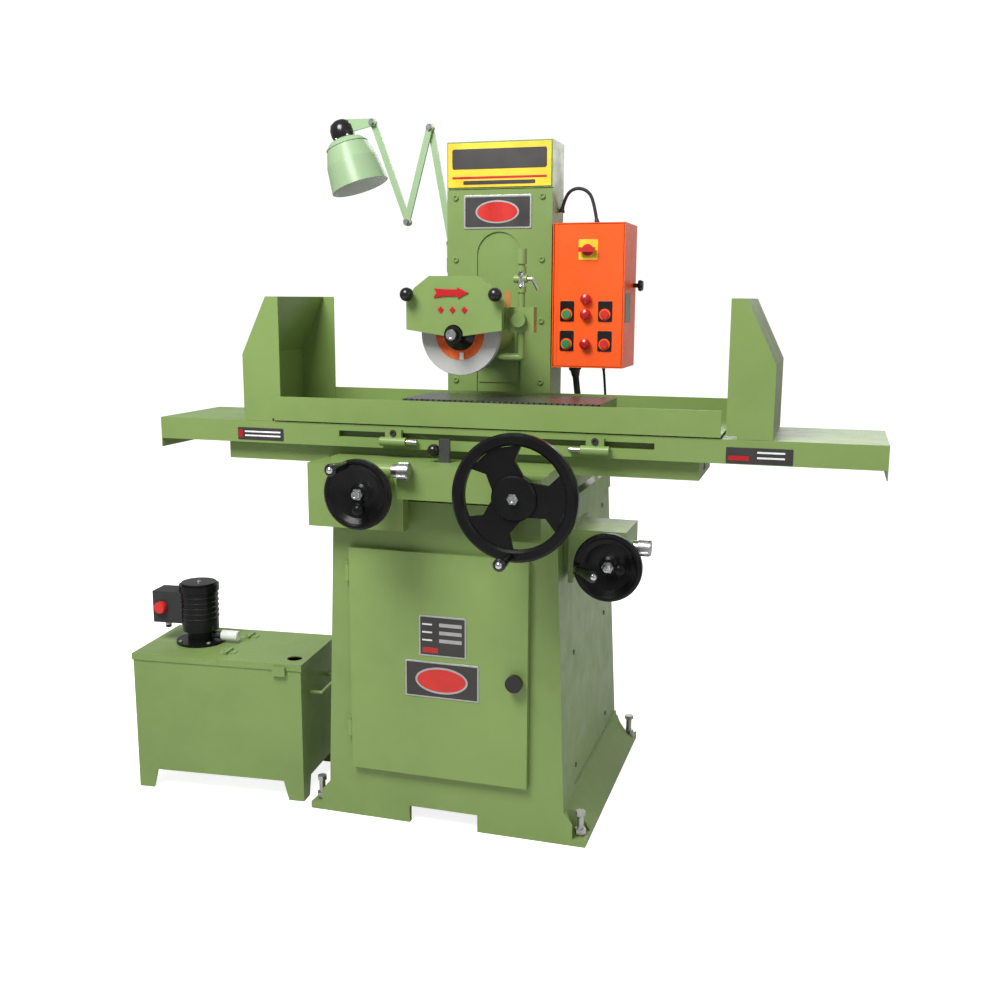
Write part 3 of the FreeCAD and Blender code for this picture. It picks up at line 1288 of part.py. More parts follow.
def arm(start, end, layer, bored_at, pinned_at, pin_side):
    """Flat bar between two pivots, bored at one set and with a pin at the other."""
    half = dim.arm_width / 2
    thick = dim.arm_thick
    y = (layer - thick / 2, layer + thick / 2)
    run = math.hypot(end[0] - start[0], end[1] - start[1])
    across = (float(start[1] - end[1]) / run, float(end[0] - start[0]) / run)
    outline = [(start[0] + half * across[0], start[1] + half * across[1]),
               (start[0] - half * across[0], start[1] - half * across[1]),
               (end[0] - half * across[0], end[1] - half * across[1]),
               (end[0] + half * across[0], end[1] + half * across[1])]
    bar = join(prism("XZ", outline, y), rod("y", dim.arm_width + 4, y, start), rod("y", dim.arm_width + 4, y, end))
    pins = []
    for spot in pinned_at:
        reach = dim.arm_pitch + thick / 2 + 4
        ends = (layer, layer + reach) if pin_side > 0 else (layer - reach, layer)
        cap = (layer + reach - 3.4, layer + reach) if pin_side > 0 else (layer - reach, layer - reach + 3.4)
        pins.append(rod("y", dim.arm_pin, ends, spot))
        pins.append(rod("y", dim.arm_pin + 7, cap, spot))
    bores = [rod("y", dim.arm_pin + 2 * dim.fit_clearance, (y[0] - 1, y[1] + 1), spot) for spot in bored_at]
    whole = join(bar, *pins) if pins else bar
    return cut(whole, *bores) if bores else whole


node("lamp_lower_arm", arm(LAMP_BASE, LAMP_ELBOW, OUTER_LAYER, [LAMP_BASE, LAMP_ELBOW], [], 1))
node("lamp_middle_arm", arm(LAMP_ELBOW, LAMP_KNEE, INNER_LAYER, [], [LAMP_ELBOW, LAMP_KNEE], 1))
node("lamp_upper_arm", arm(LAMP_KNEE, LAMP_WRIST, OUTER_LAYER, [LAMP_KNEE, LAMP_WRIST], [], 1))


def lamp_bracket():
    """Plate on the side of the column with an upright socket for the swivel."""
    x, z, y = dim.lamp_base_x, dim.lamp_base_z, OUTER_LAYER
    column = -dim.column_half
    plate = block((column - 6, column), (y - 25, y + 25), (z - 66, z - 12))
    socket = rod("z", 26, (z - 50, z - 10), (x, y))
    arm_block = block((x, column - 5), (y - 9, y + 9), (z - 46, z - 14))
    bore = rod("z", 12 + 2 * dim.fit_clearance, (z - 51, z - 9), (x, y))
    return cut(join(plate, socket, arm_block), bore)


node("lamp_bracket", lamp_bracket())


def lamp_swivel():
    x, z, y = dim.lamp_base_x, dim.lamp_base_z, OUTER_LAYER
    thick = dim.arm_thick / 2
    post = rod("z", 12, (z - 54, z - 5), (x, y))
    collar = rod("z", 26, (z - 9.7, z - 2), (x, y))
    lug_y = (y - dim.arm_pitch - thick, y - dim.arm_pitch + thick)
    lug = block((x - 9, x + 9), (lug_y[0], lug_y[1]), (z - 9.7, LAMP_BASE[1]))
    eye = rod("y", 22, lug_y, LAMP_BASE)
    pin = rod("y", dim.arm_pin, (lug_y[0], y + thick + 3.5), LAMP_BASE)
    cap = rod("y", dim.arm_pin + 7, (y + thick + 0.4, y + thick + 3.8), LAMP_BASE)
    return join(post, collar, lug, eye, pin, cap)


node("lamp_swivel", lamp_swivel())


def lamp_shade():
    """Socket with its lug at the wrist, and the reflector hanging from it at a tilt."""
    tilt = dim.shade_tilt
    x, z = dim.shade_x, dim.shade_z
    thick = dim.shade_sheet
    brim, mouth, length = dim.shade_shoulder, dim.shade_mouth, dim.shade_length
    neck = dim.shade_cap / 2
    profile = [(0, 40), (neck, 40), (neck, 26), (brim * 0.8, 14), (brim + 2, 0), (brim + 2, -thick), (brim, -thick),
               (mouth - 8, -length * 0.4), (mouth, -length), (mouth - thick, -length),
               (mouth - 8 - thick, -length * 0.4), (brim - thick, -thick * 2), (brim * 0.75, 10),
               (0, 10)]
    shade = spin(turned("z", profile, 0, (0, 0)), x, INNER_LAYER, z, tilt)
    y = (INNER_LAYER - dim.arm_thick / 2, INNER_LAYER + dim.arm_thick / 2)
    wrist_x, wrist_z = LAMP_WRIST
    top = (x - 40 * sine(dim.shade_tilt), z + 40 * cosine(dim.shade_tilt))
    cap = ball(dim.shade_cap * 1.8, top[0] + 4, INNER_LAYER, top[1] + 8)
    bridge = prism("XZ", [(top[0], top[1] - 6), (wrist_x, wrist_z - 10), (wrist_x, wrist_z + 10),
                          (top[0] + 6, top[1] + 34)], y)
    eye = rod("y", 22, y, LAMP_WRIST)
    reach = dim.arm_pitch + dim.arm_thick / 2 + 4
    pin = rod("y", dim.arm_pin, (INNER_LAYER, INNER_LAYER + reach), LAMP_WRIST)
    pin_cap = rod("y", dim.arm_pin + 7, (INNER_LAYER + reach - 3.4, INNER_LAYER + reach), LAMP_WRIST)
    return join(shade, cap, bridge, eye, pin, pin_cap)


node("lamp_shade", lamp_shade())


# ------------------------------------------------------------------ coolant tank

def at_tank(item):
    """Bring a piece built in the tank's own corner frame to the tank's place on the floor."""
    return place(group(item), dim.tank_x, back(dim.tank_y), 0, Rotation(Vector(0, 0, 1), float(dim.tank_turn)))


def tank_handle():
    """Bent rod on the right end of the tank."""
    u, z = dim.tank_width, dim.tank_high - 90
    out = u + 34
    ends = [60, dim.tank_depth - 60]
    legs = [rod("x", 10, (u, out), (v, z)) for v in ends]
    bends = [ball(10, out, v, z) for v in ends]
    return join(*legs, *bends, rod("y", 10, ends, (out, z)))


def lid_hinge(part_of_lid):
    """Two hinges over the joint between the fixed cover and the lid."""
    u, z = dim.lid_split - 2, dim.tank_high + dim.tank_sheet + 5
    pin, barrel = dim.lid_pin, dim.lid_pin + 4
    leaf_low = dim.tank_high + dim.tank_sheet
    pieces = []
    for v in (60, dim.tank_depth - 60):
        if part_of_lid:
            tube = rod("y", barrel, (v - 12, v + 12), (u, z))
            leaf = block((u, u + 22), (v - 12, v + 12), (leaf_low + 0.3, leaf_low + 2.3))
            bore = rod("y", pin + 2 * dim.fit_clearance, (v - 13, v + 13), (u, z))
            pieces.append(cut(join(tube, leaf), bore))
        else:
            tubes = [rod("y", barrel, ends, (u, z)) for ends in ((v - 24, v - 12.3), (v + 12.3, v + 24))]
            leaves = [block((u - 22, u - 2), ends, (leaf_low - 1, leaf_low + 2))
                      for ends in ((v - 24, v - 12.3), (v + 12.3, v + 24))]
            pieces += [*tubes, *leaves, rod("y", pin, (v - 24, v + 24), (u, z))]
    return pieces


def tank_body():
    width, depth, wall = dim.tank_width, dim.tank_depth, dim.tank_sheet
    low, top = dim.tank_low, dim.tank_high
    split = dim.lid_split
    box = cut(block((0, width), (0, depth), (low, top)),
              block((wall, width - wall), (wall, depth - wall), (low + wall, top + 1)))
    over = dim.lid_over
    cover = cut(block((-over, split - 4), (-over, depth + over), (top - dim.lid_lip, top + wall)),
                block((0, split), (0, depth), (top - dim.lid_lip - 1, top)),
                rod("z", dim.pump_pipe + 1, (top - 1, top + wall + 1), (dim.pump_u, dim.pump_v)))
    strip = block((split - 30, split - 4), (0, depth), (top - 2, top))
    pieces = [box, cover, strip]
    foot, head, thick = dim.leg_foot, dim.leg_top, dim.leg_sheet
    for right in (0, 1):
        for rear in (0, 1):
            pieces += angle_leg(right * width, rear * depth, 1 - 2 * right, 1 - 2 * rear, foot, head, thick, low)
    return at_tank(join(*pieces, tank_handle(), *lid_hinge(False)))


def span(start, length, direction):
    """The two ends, in order, of a length laid off either way from a start."""
    return (start, start + length) if direction > 0 else (start - length, start)


def angle_leg(x, y, way_x, way_y, foot, head, thick, low):
    """Two tapering webs that meet at the tank's corner."""
    webs = []
    for wide_x in (True, False):
        plans = []
        for width in (foot, head):
            along_x = span(x, width if wide_x else thick, way_x)
            along_y = span(y, thick if wide_x else width, way_y)
            plans.append((*along_x, *along_y))
        webs.append(taper(plans[0], plans[1], (0, low)))
    return webs


node("tank_body", tank_body())


def tank_lid():
    width, depth, wall = dim.tank_width, dim.tank_depth, dim.tank_sheet
    top, split, over = dim.tank_high, dim.lid_split, dim.lid_over
    gap = 0.4
    plate = cut(block((split - 3.5, width + over), (-over, depth + over), (top - dim.lid_lip, top + gap + wall)),
                block((split - 5, width + gap), (-gap, depth + gap), (top - dim.lid_lip - 1, top + gap)),
                rod("z", 40, (top - 1, top + wall + 1), (width - 35, 50)))
    latch = block((width - 75, width - 40), (-over - 8, -over), (top - dim.lid_lip - 14, top - 4))
    return at_tank(join(plate, latch, *lid_hinge(True)))


node("tank_lid", tank_lid())


def pump_motor():
    top = dim.tank_high + dim.tank_sheet
    spot = (dim.pump_u, dim.pump_v)
    body, flange = dim.pump_body * 2, dim.pump_flange * 2
    foot_top = top + dim.pump_base
    return at_tank(join(
        rod("z", dim.pump_pipe, (dim.pump_foot, top + 2), spot),
        rod("z", dim.pump_pipe * 1.9, (dim.pump_foot, dim.pump_foot + 45), spot),
        rod("z", flange, (top, top + 7), spot),
        rod("z", body * 0.72, (top + 6, foot_top + 14), spot),
        rod("z", body, (foot_top + 14, dim.pump_top - 24), spot),
        rod("z", body + 8, (dim.pump_top - 24, dim.pump_top - 6), spot),
        rod("z", body - 6, (dim.pump_top - 7, dim.pump_top), spot)))


def pump_fittings():
    u, v = dim.pump_u, dim.pump_v
    centre_z = (dim.terminal_low + dim.terminal_high) / 2
    bite = rod("z", dim.pump_body * 2 + dim.slide_gap, (dim.tank_high, dim.pump_top), (u, v))
    box = cut(block((dim.terminal_left, u - dim.pump_body * 0.7), (v - 34, v + 34),
                    (dim.terminal_low, dim.terminal_high)), bite)
    cap = rod("y", 30, (v - 42, v - 34), (dim.terminal_left + 26, centre_z))
    gland = rod("z", 16, (dim.terminal_low - 22, dim.terminal_low), (dim.terminal_left + 26, v))
    return join(box, cap, gland)


def pump_outlet():
    """Outlet pipe and stub of hose from the side of the pump's base."""
    z = dim.outlet_z
    bite = rod("z", dim.pump_body * 1.44 + dim.slide_gap, (z - 30, z + 30), (dim.pump_u, dim.pump_v))
    pipe = cut(rod("x", 20, (dim.pump_u + 20, dim.outlet_end - 20), (dim.pump_v, z)), bite)
    return join(pipe, rod("x", 28, (dim.outlet_end - 46, dim.outlet_end), (dim.pump_v, z)))


node("pump_motor", pump_motor())
node("pump_fittings", at_tank(group(pump_fittings(), pump_outlet())))


# ------------------------------------------------------------------ cables

def cable(name, diameter, points):
    """Round cable: straight runs joined by tangent arcs."""
    radius = float(diameter) / 2
    path = [Vector(x, y, z) for x, y, z in points]
    edges = []
    bends = []
    start = path[0]
    for before, corner, after in zip(path, path[1:], path[2:]):
        to_before = (before - corner).normalize()
        to_after = (after - corner).normalize()
        half_turn = (math.pi - to_before.getAngle(to_after)) / 2
        reach = 0.45 * min((before - corner).Length, (after - corner).Length)
        bend = reach / math.tan(half_turn)
        first, last = corner + to_before * reach, corner + to_after * reach
        bisector = (to_before + to_after).normalize()
        middle = corner + bisector * (bend / math.cos(half_turn) - bend)
        edges += [Part.LineSegment(start, first).toShape(), Part.Arc(first, middle, last).toShape()]
        bends.append(round(bend, 1))
        start = last
    edges.append(Part.LineSegment(start, path[-1]).toShape())
    spine = Part.Wire(edges)
    section = Part.Wire(Part.makeCircle(radius, path[0], path[1] - path[0]))
    shape = spine.makePipeShell([section], True, False)
    expected = math.pi * radius ** 2 * spine.Length
    print(name, "bend radii", bends, "volume ratio", round(shape.Volume / expected, 4))
    return node(name, solid_of(shape, name))


CABLE_Y = float(back(dim.cable_y))
BOX_TOP = float(dim.box_high)
BOX_LOW = float(dim.box_low)
SIDE = float(dim.column_half)
FLOOR = float(dim.base_height)
cable("motor_cable", dim.box_cable, [
    (SIDE + 5, CABLE_Y, BOX_TOP + 33), (SIDE + 14, CABLE_Y, BOX_TOP + 73), (SIDE + 37, CABLE_Y, BOX_TOP + 96),
    (SIDE + 71, CABLE_Y, BOX_TOP + 93), (SIDE + 94, CABLE_Y, BOX_TOP + 65), (SIDE + 104, CABLE_Y, BOX_TOP + 0.8)])
cable("supply_cable", dim.supply_cable, [
    (196, CABLE_Y, BOX_LOW - 0.9), (204, CABLE_Y + 4, BOX_LOW - 92), (226, CABLE_Y + 8, BOX_LOW - 192),
    (222, CABLE_Y + 12, FLOOR + 0.5)])
cable("signal_cable", dim.signal_cable, [
    (275, CABLE_Y + 5, BOX_LOW - 0.5), (283, CABLE_Y + 7, BOX_LOW - 75), (280, CABLE_Y + 9, BOX_LOW - 150),
    (270, CABLE_Y + 10, BOX_LOW - 226), (258, CABLE_Y + 12, FLOOR + 0.6)])


# ------------------------------------------------------------------ checks and files

doc.recompute()
faults = [f"{item.Label}: {item.State}" for item in doc.Objects if {"Invalid", "Error"} & set(item.State)]
faults += [f"{name}: bad shape" for name, item in nodes.items() if item.Shape.isNull() or not item.Shape.isValid()]
faults += [f"{name}: no solid" for name, item in nodes.items() if not item.Shape.Solids]
if faults:
    raise SystemExit("\n".join(faults))

os.makedirs("parts", exist_ok=True)
for name, item in nodes.items():
    item.Shape.exportStep(f"parts/{name}.step")
print(len(nodes), "sub-parts written")
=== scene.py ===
"""Looks of the surface grinder: materials, plates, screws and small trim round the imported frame."""
import math

import bmesh
import bpy
from mathutils import Matrix, Vector


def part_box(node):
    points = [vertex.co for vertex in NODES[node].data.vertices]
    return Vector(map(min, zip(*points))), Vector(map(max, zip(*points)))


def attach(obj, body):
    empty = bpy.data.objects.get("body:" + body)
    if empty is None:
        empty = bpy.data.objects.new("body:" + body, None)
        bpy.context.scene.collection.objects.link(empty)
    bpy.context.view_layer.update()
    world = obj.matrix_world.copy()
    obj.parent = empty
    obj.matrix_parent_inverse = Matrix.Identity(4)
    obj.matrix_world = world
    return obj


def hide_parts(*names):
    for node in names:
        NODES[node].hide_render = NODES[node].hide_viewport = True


FORWARD, BACKWARD = (0, -1, 0), (0, 1, 0)
RIGHT = (1, 0, 0)
UP, DOWN = (0, 0, 1), (0, 0, -1)
SPINDLE_Z = 1.232
ROLL = 0.26

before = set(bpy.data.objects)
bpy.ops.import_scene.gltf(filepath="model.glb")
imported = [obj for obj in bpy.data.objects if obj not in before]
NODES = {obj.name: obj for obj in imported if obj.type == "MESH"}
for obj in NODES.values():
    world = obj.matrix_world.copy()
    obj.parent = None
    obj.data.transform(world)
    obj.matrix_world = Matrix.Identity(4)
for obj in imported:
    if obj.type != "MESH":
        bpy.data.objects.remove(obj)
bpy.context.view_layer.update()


# ------------------------------------------------------------------ camera

def make_camera():
    data = bpy.data.cameras.new("camera")
    data.lens = 40.026
    data.sensor_width = 36
    data.shift_x = 0.0057
    data.shift_y = 0.0053
    camera = bpy.data.objects.new("camera", data)
    camera.location = (0.8826, -2.8377, 1.3186)
    heading = Matrix.Rotation(math.radians(16.893), 3, "Z")
    pitch = Matrix.Rotation(math.radians(90 - 10.541), 3, "X")
    roll = Matrix.Rotation(math.radians(ROLL), 3, "Z")
    camera.rotation_euler = (heading @ pitch @ roll).to_euler()
    bpy.context.scene.collection.objects.link(camera)
    bpy.context.scene.camera = camera


make_camera()


# ------------------------------------------------------------------ materials

def new_material(name):
    material = bpy.data.materials.new(name)
    material.use_nodes = True
    nodes = material.node_tree.nodes
    return material, nodes, material.node_tree.links, nodes["Principled BSDF"]


def texture_space(nodes, links, stretch=(1, 1, 1)):
    source = nodes.new("ShaderNodeTexCoord")
    mapping = nodes.new("ShaderNodeMapping")
    mapping.inputs["Scale"].default_value = stretch
    links.new(source.outputs["Object"], mapping.inputs["Vector"])
    return mapping.outputs["Vector"]


def noise(nodes, links, space, scale, detail=4, rough=0.55):
    texture = nodes.new("ShaderNodeTexNoise")
    texture.inputs["Scale"].default_value = scale
    texture.inputs["Detail"].default_value = detail
    texture.inputs["Roughness"].default_value = rough
    links.new(space, texture.inputs["Vector"])
    return texture.outputs["Fac"]


def ramp(nodes, links, value, stops):
    item = nodes.new("ShaderNodeValToRGB")
    elements = item.color_ramp.elements
    while len(elements) < len(stops):
        elements.new(0.5)
    for element, (place, colour) in zip(elements, stops):
        element.position = place
        element.color = (*colour, 1) if len(colour) == 3 else (colour[0],) * 3 + (1,)
    links.new(value, item.inputs["Fac"])
    return item.outputs["Color"]


def shade(colour, factor):
    return tuple(min(1, c * factor) for c in colour)


def bump(nodes, links, shader, height, strength, distance):
    item = nodes.new("ShaderNodeBump")
    item.inputs["Strength"].default_value = strength
    item.inputs["Distance"].default_value = distance
    links.new(height, item.inputs["Height"])
    links.new(item.outputs["Normal"], shader.inputs["Normal"])


def enamel(name, colour, rough=0.36, peel=0.25, dirt=0.12, coat=0.12, specular=0.32):
    """Machine enamel: brushed-on unevenness, faint orange peel and rubbed, duller patches."""
    material, nodes, links, shader = new_material(name)
    space = texture_space(nodes, links)
    patches = noise(nodes, links, space, 3.2, 5, 0.6)
    stops = [(0.28, shade(colour, 1 - dirt)), (0.5, colour), (0.75, shade(colour, 1 + dirt * 0.6))]
    links.new(ramp(nodes, links, patches, stops), shader.inputs["Base Color"])
    fine = noise(nodes, links, space, 14, 6, 0.65)
    links.new(ramp(nodes, links, fine, [(0.3, (rough - 0.08,)), (0.7, (rough + 0.12,))]),
              shader.inputs["Roughness"])
    bump(nodes, links, shader, noise(nodes, links, space, 260, 3), peel, 0.0004)
    shader.inputs["Coat Weight"].default_value = coat
    shader.inputs["Specular IOR Level"].default_value = specular
    shader.inputs["Coat Roughness"].default_value = 0.2
    return material


def metal(name, colour, rough, stretch=(1, 1, 1), scale=90, depth=0.15):
    material, nodes, links, shader = new_material(name)
    space = texture_space(nodes, links, stretch)
    grain = noise(nodes, links, space, scale, 5, 0.6)
    links.new(ramp(nodes, links, grain, [(0.3, shade(colour, 0.82)), (0.7, shade(colour, 1.1))]),
              shader.inputs["Base Color"])
    links.new(ramp(nodes, links, grain, [(0.3, (rough + 0.1,)), (0.7, (max(0.03, rough - 0.06),))]),
              shader.inputs["Roughness"])
    shader.inputs["Metallic"].default_value = 1.0
    bump(nodes, links, shader, grain, depth, 0.0003)
    return material


def plastic(name, colour, rough=0.3, scale=400, depth=0.08):
    material, nodes, links, shader = new_material(name)
    space = texture_space(nodes, links)
    grain = noise(nodes, links, space, scale, 3)
    cloud = noise(nodes, links, space, 12, 3)
    links.new(ramp(nodes, links, cloud, [(0.3, shade(colour, 0.85)), (0.7, shade(colour, 1.15))]),
              shader.inputs["Base Color"])
    gloss = ramp(nodes, links, cloud, [(0.3, (rough,)), (0.7, (rough + 0.12,))])
    links.new(gloss, shader.inputs["Roughness"])
    bump(nodes, links, shader, grain, depth, 0.0003)
    return material


GREEN = (0.188, 0.278, 0.082)
LAMP_GREEN = (0.29, 0.42, 0.235)
M = {
    "green": enamel("green_enamel", GREEN),
    "door_green": enamel("door_enamel", shade(GREEN, 1.05), 0.4),
    "lamp_green": enamel("lamp_enamel", LAMP_GREEN, 0.3),
    "orange": enamel("orange_enamel", (0.93, 0.105, 0.012), 0.3, 0.15, 0.06),
    "black": plastic("black_gloss", (0.006, 0.006, 0.0065), 0.15),
    "black_iron": enamel("black_wheel", (0.006, 0.0065, 0.006), 0.22, 0.4, 0.3, 0.02, 0.16),
    "black_matt": plastic("black_matt", (0.02, 0.02, 0.021), 0.55),
    "rubber": plastic("cable_rubber", (0.015, 0.015, 0.016), 0.6, 700, 0.15),
    "steel": metal("steel", (0.55, 0.56, 0.57), 0.28),
    "dark_steel": metal("dark_steel", (0.16, 0.16, 0.165), 0.35),
    "chrome": metal("chrome", (0.62, 0.63, 0.64), 0.14, depth=0.04),
    "knurled": metal("knurled_steel", (0.42, 0.42, 0.42), 0.3, scale=160),
    "zinc": metal("zinc", (0.48, 0.48, 0.46), 0.4, scale=40),
    "red": plastic("red_plastic", (0.55, 0.02, 0.015), 0.25),
    "lens_red": plastic("lens_red", (0.42, 0.01, 0.012), 0.15),
    "push_green": plastic("push_green", (0.02, 0.22, 0.07), 0.25),
    "yellow": plastic("yellow_plate", (0.85, 0.55, 0.02), 0.35),
    "white": plastic("white_enamel", (0.75, 0.76, 0.74), 0.3),
    "brown": plastic("brown_label", (0.38, 0.17, 0.04), 0.45),
    "dark_plate": plastic("dark_plate", (0.03, 0.028, 0.027), 0.35),
    "plate_silver": metal("plate_silver", (0.5, 0.5, 0.49), 0.35, (1, 1, 12), 60),
    "grey": plastic("grey_plate", (0.22, 0.23, 0.2), 0.5),
    # near-black for painted shade: stands in for the dark inside holes
    "shadow": plastic("painted_hole_shade", (0.012, 0.013, 0.012), 0.8),
}


def wheel_material():
    """Abrasive wheel with an orange paper washer; the washer's white patch is a plate of its own."""
    material, nodes, links, shader = new_material("abrasive")
    space = texture_space(nodes, links)
    centre = [(low + high) / 2 for low, high in zip(*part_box("grinding_wheel"))]
    shifted = nodes.new("ShaderNodeVectorMath")
    shifted.operation = "SUBTRACT"
    shifted.inputs[1].default_value = centre
    links.new(space, shifted.inputs[0])
    flat = nodes.new("ShaderNodeVectorMath")
    flat.operation = "MULTIPLY"
    flat.inputs[1].default_value = (1, 0, 1)
    links.new(shifted.outputs[0], flat.inputs[0])
    radius = nodes.new("ShaderNodeVectorMath")
    radius.operation = "LENGTH"
    links.new(flat.outputs[0], radius.inputs[0])
    grit = noise(nodes, links, space, 900, 6, 0.8)
    stone = ramp(nodes, links, grit, [(0.35, (0.30, 0.30, 0.29)), (0.65, (0.62, 0.62, 0.60))])
    paper_noise = noise(nodes, links, space, 60, 4)
    paper = ramp(nodes, links, paper_noise, [(0.3, (0.62, 0.075, 0.015)), (0.7, (0.85, 0.16, 0.03))])
    step = nodes.new("ShaderNodeMath")
    step.operation = "LESS_THAN"
    step.inputs[1].default_value = 0.0622
    links.new(radius.outputs["Value"], step.inputs[0])
    mix = nodes.new("ShaderNodeMix")
    mix.data_type = "RGBA"
    links.new(step.outputs[0], mix.inputs["Factor"])
    links.new(stone, mix.inputs["A"])
    links.new(paper, mix.inputs["B"])
    links.new(mix.outputs["Result"], shader.inputs["Base Color"])
    shader.inputs["Roughness"].default_value = 0.85
    bump(nodes, links, shader, grit, 0.6, 0.0006)
    return material


def chuck_material():
    """Ground top with the dark and bright stripes of the pole pieces across it."""
    material, nodes, links, shader = new_material("chuck_poles")
    space = texture_space(nodes, links)
    wave = nodes.new("ShaderNodeTexWave")
    wave.bands_direction = "X"
    wave.inputs["Scale"].default_value = 22
    wave.inputs["Distortion"].default_value = 0
    links.new(space, wave.inputs["Vector"])
    stripes = ramp(nodes, links, wave.outputs["Fac"],
                   [(0.2, (0.09, 0.09, 0.095)), (0.35, (0.26, 0.26, 0.27))])
    links.new(stripes, shader.inputs["Base Color"])
    shader.inputs["Metallic"].default_value = 0.9
    scratch = noise(nodes, links, texture_space(nodes, links, (2, 60, 2)), 30, 5)
    links.new(ramp(nodes, links, scratch, [(0.3, (0.22,)), (0.7, (0.42,))]), shader.inputs["Roughness"])
    bump(nodes, links, shader, scratch, 0.2, 0.0002)
    return material


M["abrasive"] = wheel_material()
M["chuck"] = chuck_material()

LOOKS = {
    "orange": ["control_box_shell", "control_box_door"],
    "door_green": ["cabinet_door"],
    "lamp_green": ["lamp_swivel", "lamp_lower_arm", "lamp_middle_arm", "lamp_upper_arm", "lamp_shade"],
    "black_iron": ["traverse_handwheel", "cross_handwheel", "feed_handwheel", "pump_motor"],
    "black": ["traverse_handle", "cross_handle", "feed_handle", "door_knob", "spindle"],
    "black_matt": ["pump_fittings"],
    "rubber": ["motor_cable", "supply_cable", "signal_cable"],
    "steel": ["traverse_shaft", "cross_feed_screw", "feed_shaft", "cross_drive_shaft", "rear_drive_shaft",
              "elevating_screw"],
    "dark_steel": ["stop_lever"],
    "chrome": ["valve_lever"],
    "knurled": ["cross_fine_knob", "feed_fine_knob"],
    "zinc": ["levelling_bolts"],
    "chuck": ["magnetic_chuck"],
    "abrasive": ["grinding_wheel"],
    "push_green": ["start_button_high", "start_button_low"],
    "red": ["stop_button_high", "stop_button_low", "isolator_switch"],
}
look_of = {node: look for look, names in LOOKS.items() for node in names}
SOFT_EDGES = {"base_casting": 0.005, "saddle_casting": 0.004, "column_casting": 0.003, "traverse_case": 0.005,
              "feed_housing": 0.004, "control_box_shell": 0.002, "wheel_guard": 0.003, "cabinet_door": 0.0015}
CORDS = {"motor_cable", "supply_cable", "signal_cable"}
for name, item in NODES.items():
    item.data.materials.clear()
    item.data.materials.append(M[look_of.get(name, "green")])
    if name in CORDS:
        continue
    bevel = item.modifiers.new("edge", "BEVEL")
    bevel.width = SOFT_EDGES.get(name, 0.0012)
    bevel.segments = 2
    bevel.limit_method = "ANGLE"
    bevel.angle_limit = math.radians(40)
    bevel.harden_normals = True


# ------------------------------------------------------------------ pieces

def add(name, mesh, look, body, edge=0.0):
    item = bpy.data.objects.new(name, mesh)
    bpy.context.scene.collection.objects.link(item)
    mesh.materials.append(M[look])
    if edge:
        bevel = item.modifiers.new("edge", "BEVEL")
        bevel.width = edge
        bevel.segments = 3
        bevel.limit_method = "ANGLE"
        bevel.angle_limit = math.radians(35)
    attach(item, body)
    return item


def mesh_from(build):
    mesh = bpy.data.meshes.new("piece")
    bm = bmesh.new()
    build(bm)
    bmesh.ops.recalc_face_normals(bm, faces=bm.faces)
    bm.to_mesh(mesh)
    bm.free()
    return mesh


def prism_mesh(outline, depth, frame_of):
    """An outline in a local (right, up) plane, pushed out by depth; frame_of maps (r, u, out) to a point."""
    def build(bm):
        near = [bm.verts.new(frame_of(r, u, depth)) for r, u in outline]
        far = [bm.verts.new(frame_of(r, u, 0)) for r, u in outline]
        bm.faces.new(near)
        bm.faces.new(list(reversed(far)))
        for i in range(len(outline)):
            j = (i + 1) % len(outline)
            bm.faces.new((near[i], near[j], far[j], far[i]))
    return mesh_from(build)


def facing_front(x, y, z):
    """Plates on a face that looks to -Y, whose surface is at y."""
    return lambda r, u, out: Vector((x + r, y - out, z + u))


def facing_right(x, y, z):
    return lambda r, u, out: Vector((x + out, y + r, z + u))


def rounded(width, height, radius, steps=5):
    points = []
    for cx, cy, start in ((1, 1, 0), (-1, 1, 90), (-1, -1, 180), (1, -1, 270)):
        for k in range(steps + 1):
            angle = math.radians(start + 90 * k / steps)
            points.append((cx * (width / 2 - radius) + radius * math.cos(angle),
                           cy * (height / 2 - radius) + radius * math.sin(angle)))
    return points


def oval(width, height, count=40):
    return [(width / 2 * math.cos(2 * math.pi * k / count), height / 2 * math.sin(2 * math.pi * k / count))
            for k in range(count)]


def plate(name, width, height, depth, place, look, body, radius=0.002, edge=0.0006):
    return add(name, prism_mesh(rounded(width, height, radius), depth, place), look, body, edge)


def lathe(profile, origin, axis, count=40):
    """A turned piece: (radius, distance along axis) points."""
    axis = Vector(axis).normalized()
    side = axis.orthogonal().normalized()
    other = axis.cross(side)

    def build(bm):
        rings = []
        for radius, along in profile:
            centre = Vector(origin) + axis * along
            if radius < 1e-6:
                rings.append([bm.verts.new(centre)])
            else:
                rings.append([bm.verts.new(centre + (side * math.cos(a) + other * math.sin(a)) * radius)
                              for a in (2 * math.pi * k / count for k in range(count))])
        for first, second in zip(rings, rings[1:]):
            for k in range(count):
                n = (k + 1) % count
                quad = {len(first): first, 1: [first[0]] * count}[len(first)]
                pair = {len(second): second, 1: [second[0]] * count}[len(second)]
                corners = list(dict.fromkeys([quad[k], quad[n], pair[n], pair[k]]))
                if len(corners) > 2:
                    bm.faces.new(corners)
    mesh = mesh_from(build)
    for face in mesh.polygons:
        face.use_smooth = True
    return mesh


def turned(name, profile, origin, axis, look, body):
    item = add(name, lathe(profile, origin, axis), look, body)
    item.data.set_sharp_from_angle(angle=math.radians(35))
    return item


def dome(radius, reach, steps=14):
    """Profile of a ball from its pole to reach degrees round, with a flat underside."""
    angles = [math.radians(reach * k / steps) for k in range(steps + 1)]
    points = [(radius * math.sin(a), radius * math.cos(a)) for a in angles]
    return points + [(0, points[-1][1])]


def ball(name, radius, centre, axis, look, body):
    return turned(name, dome(radius, 179), centre, axis, look, body)


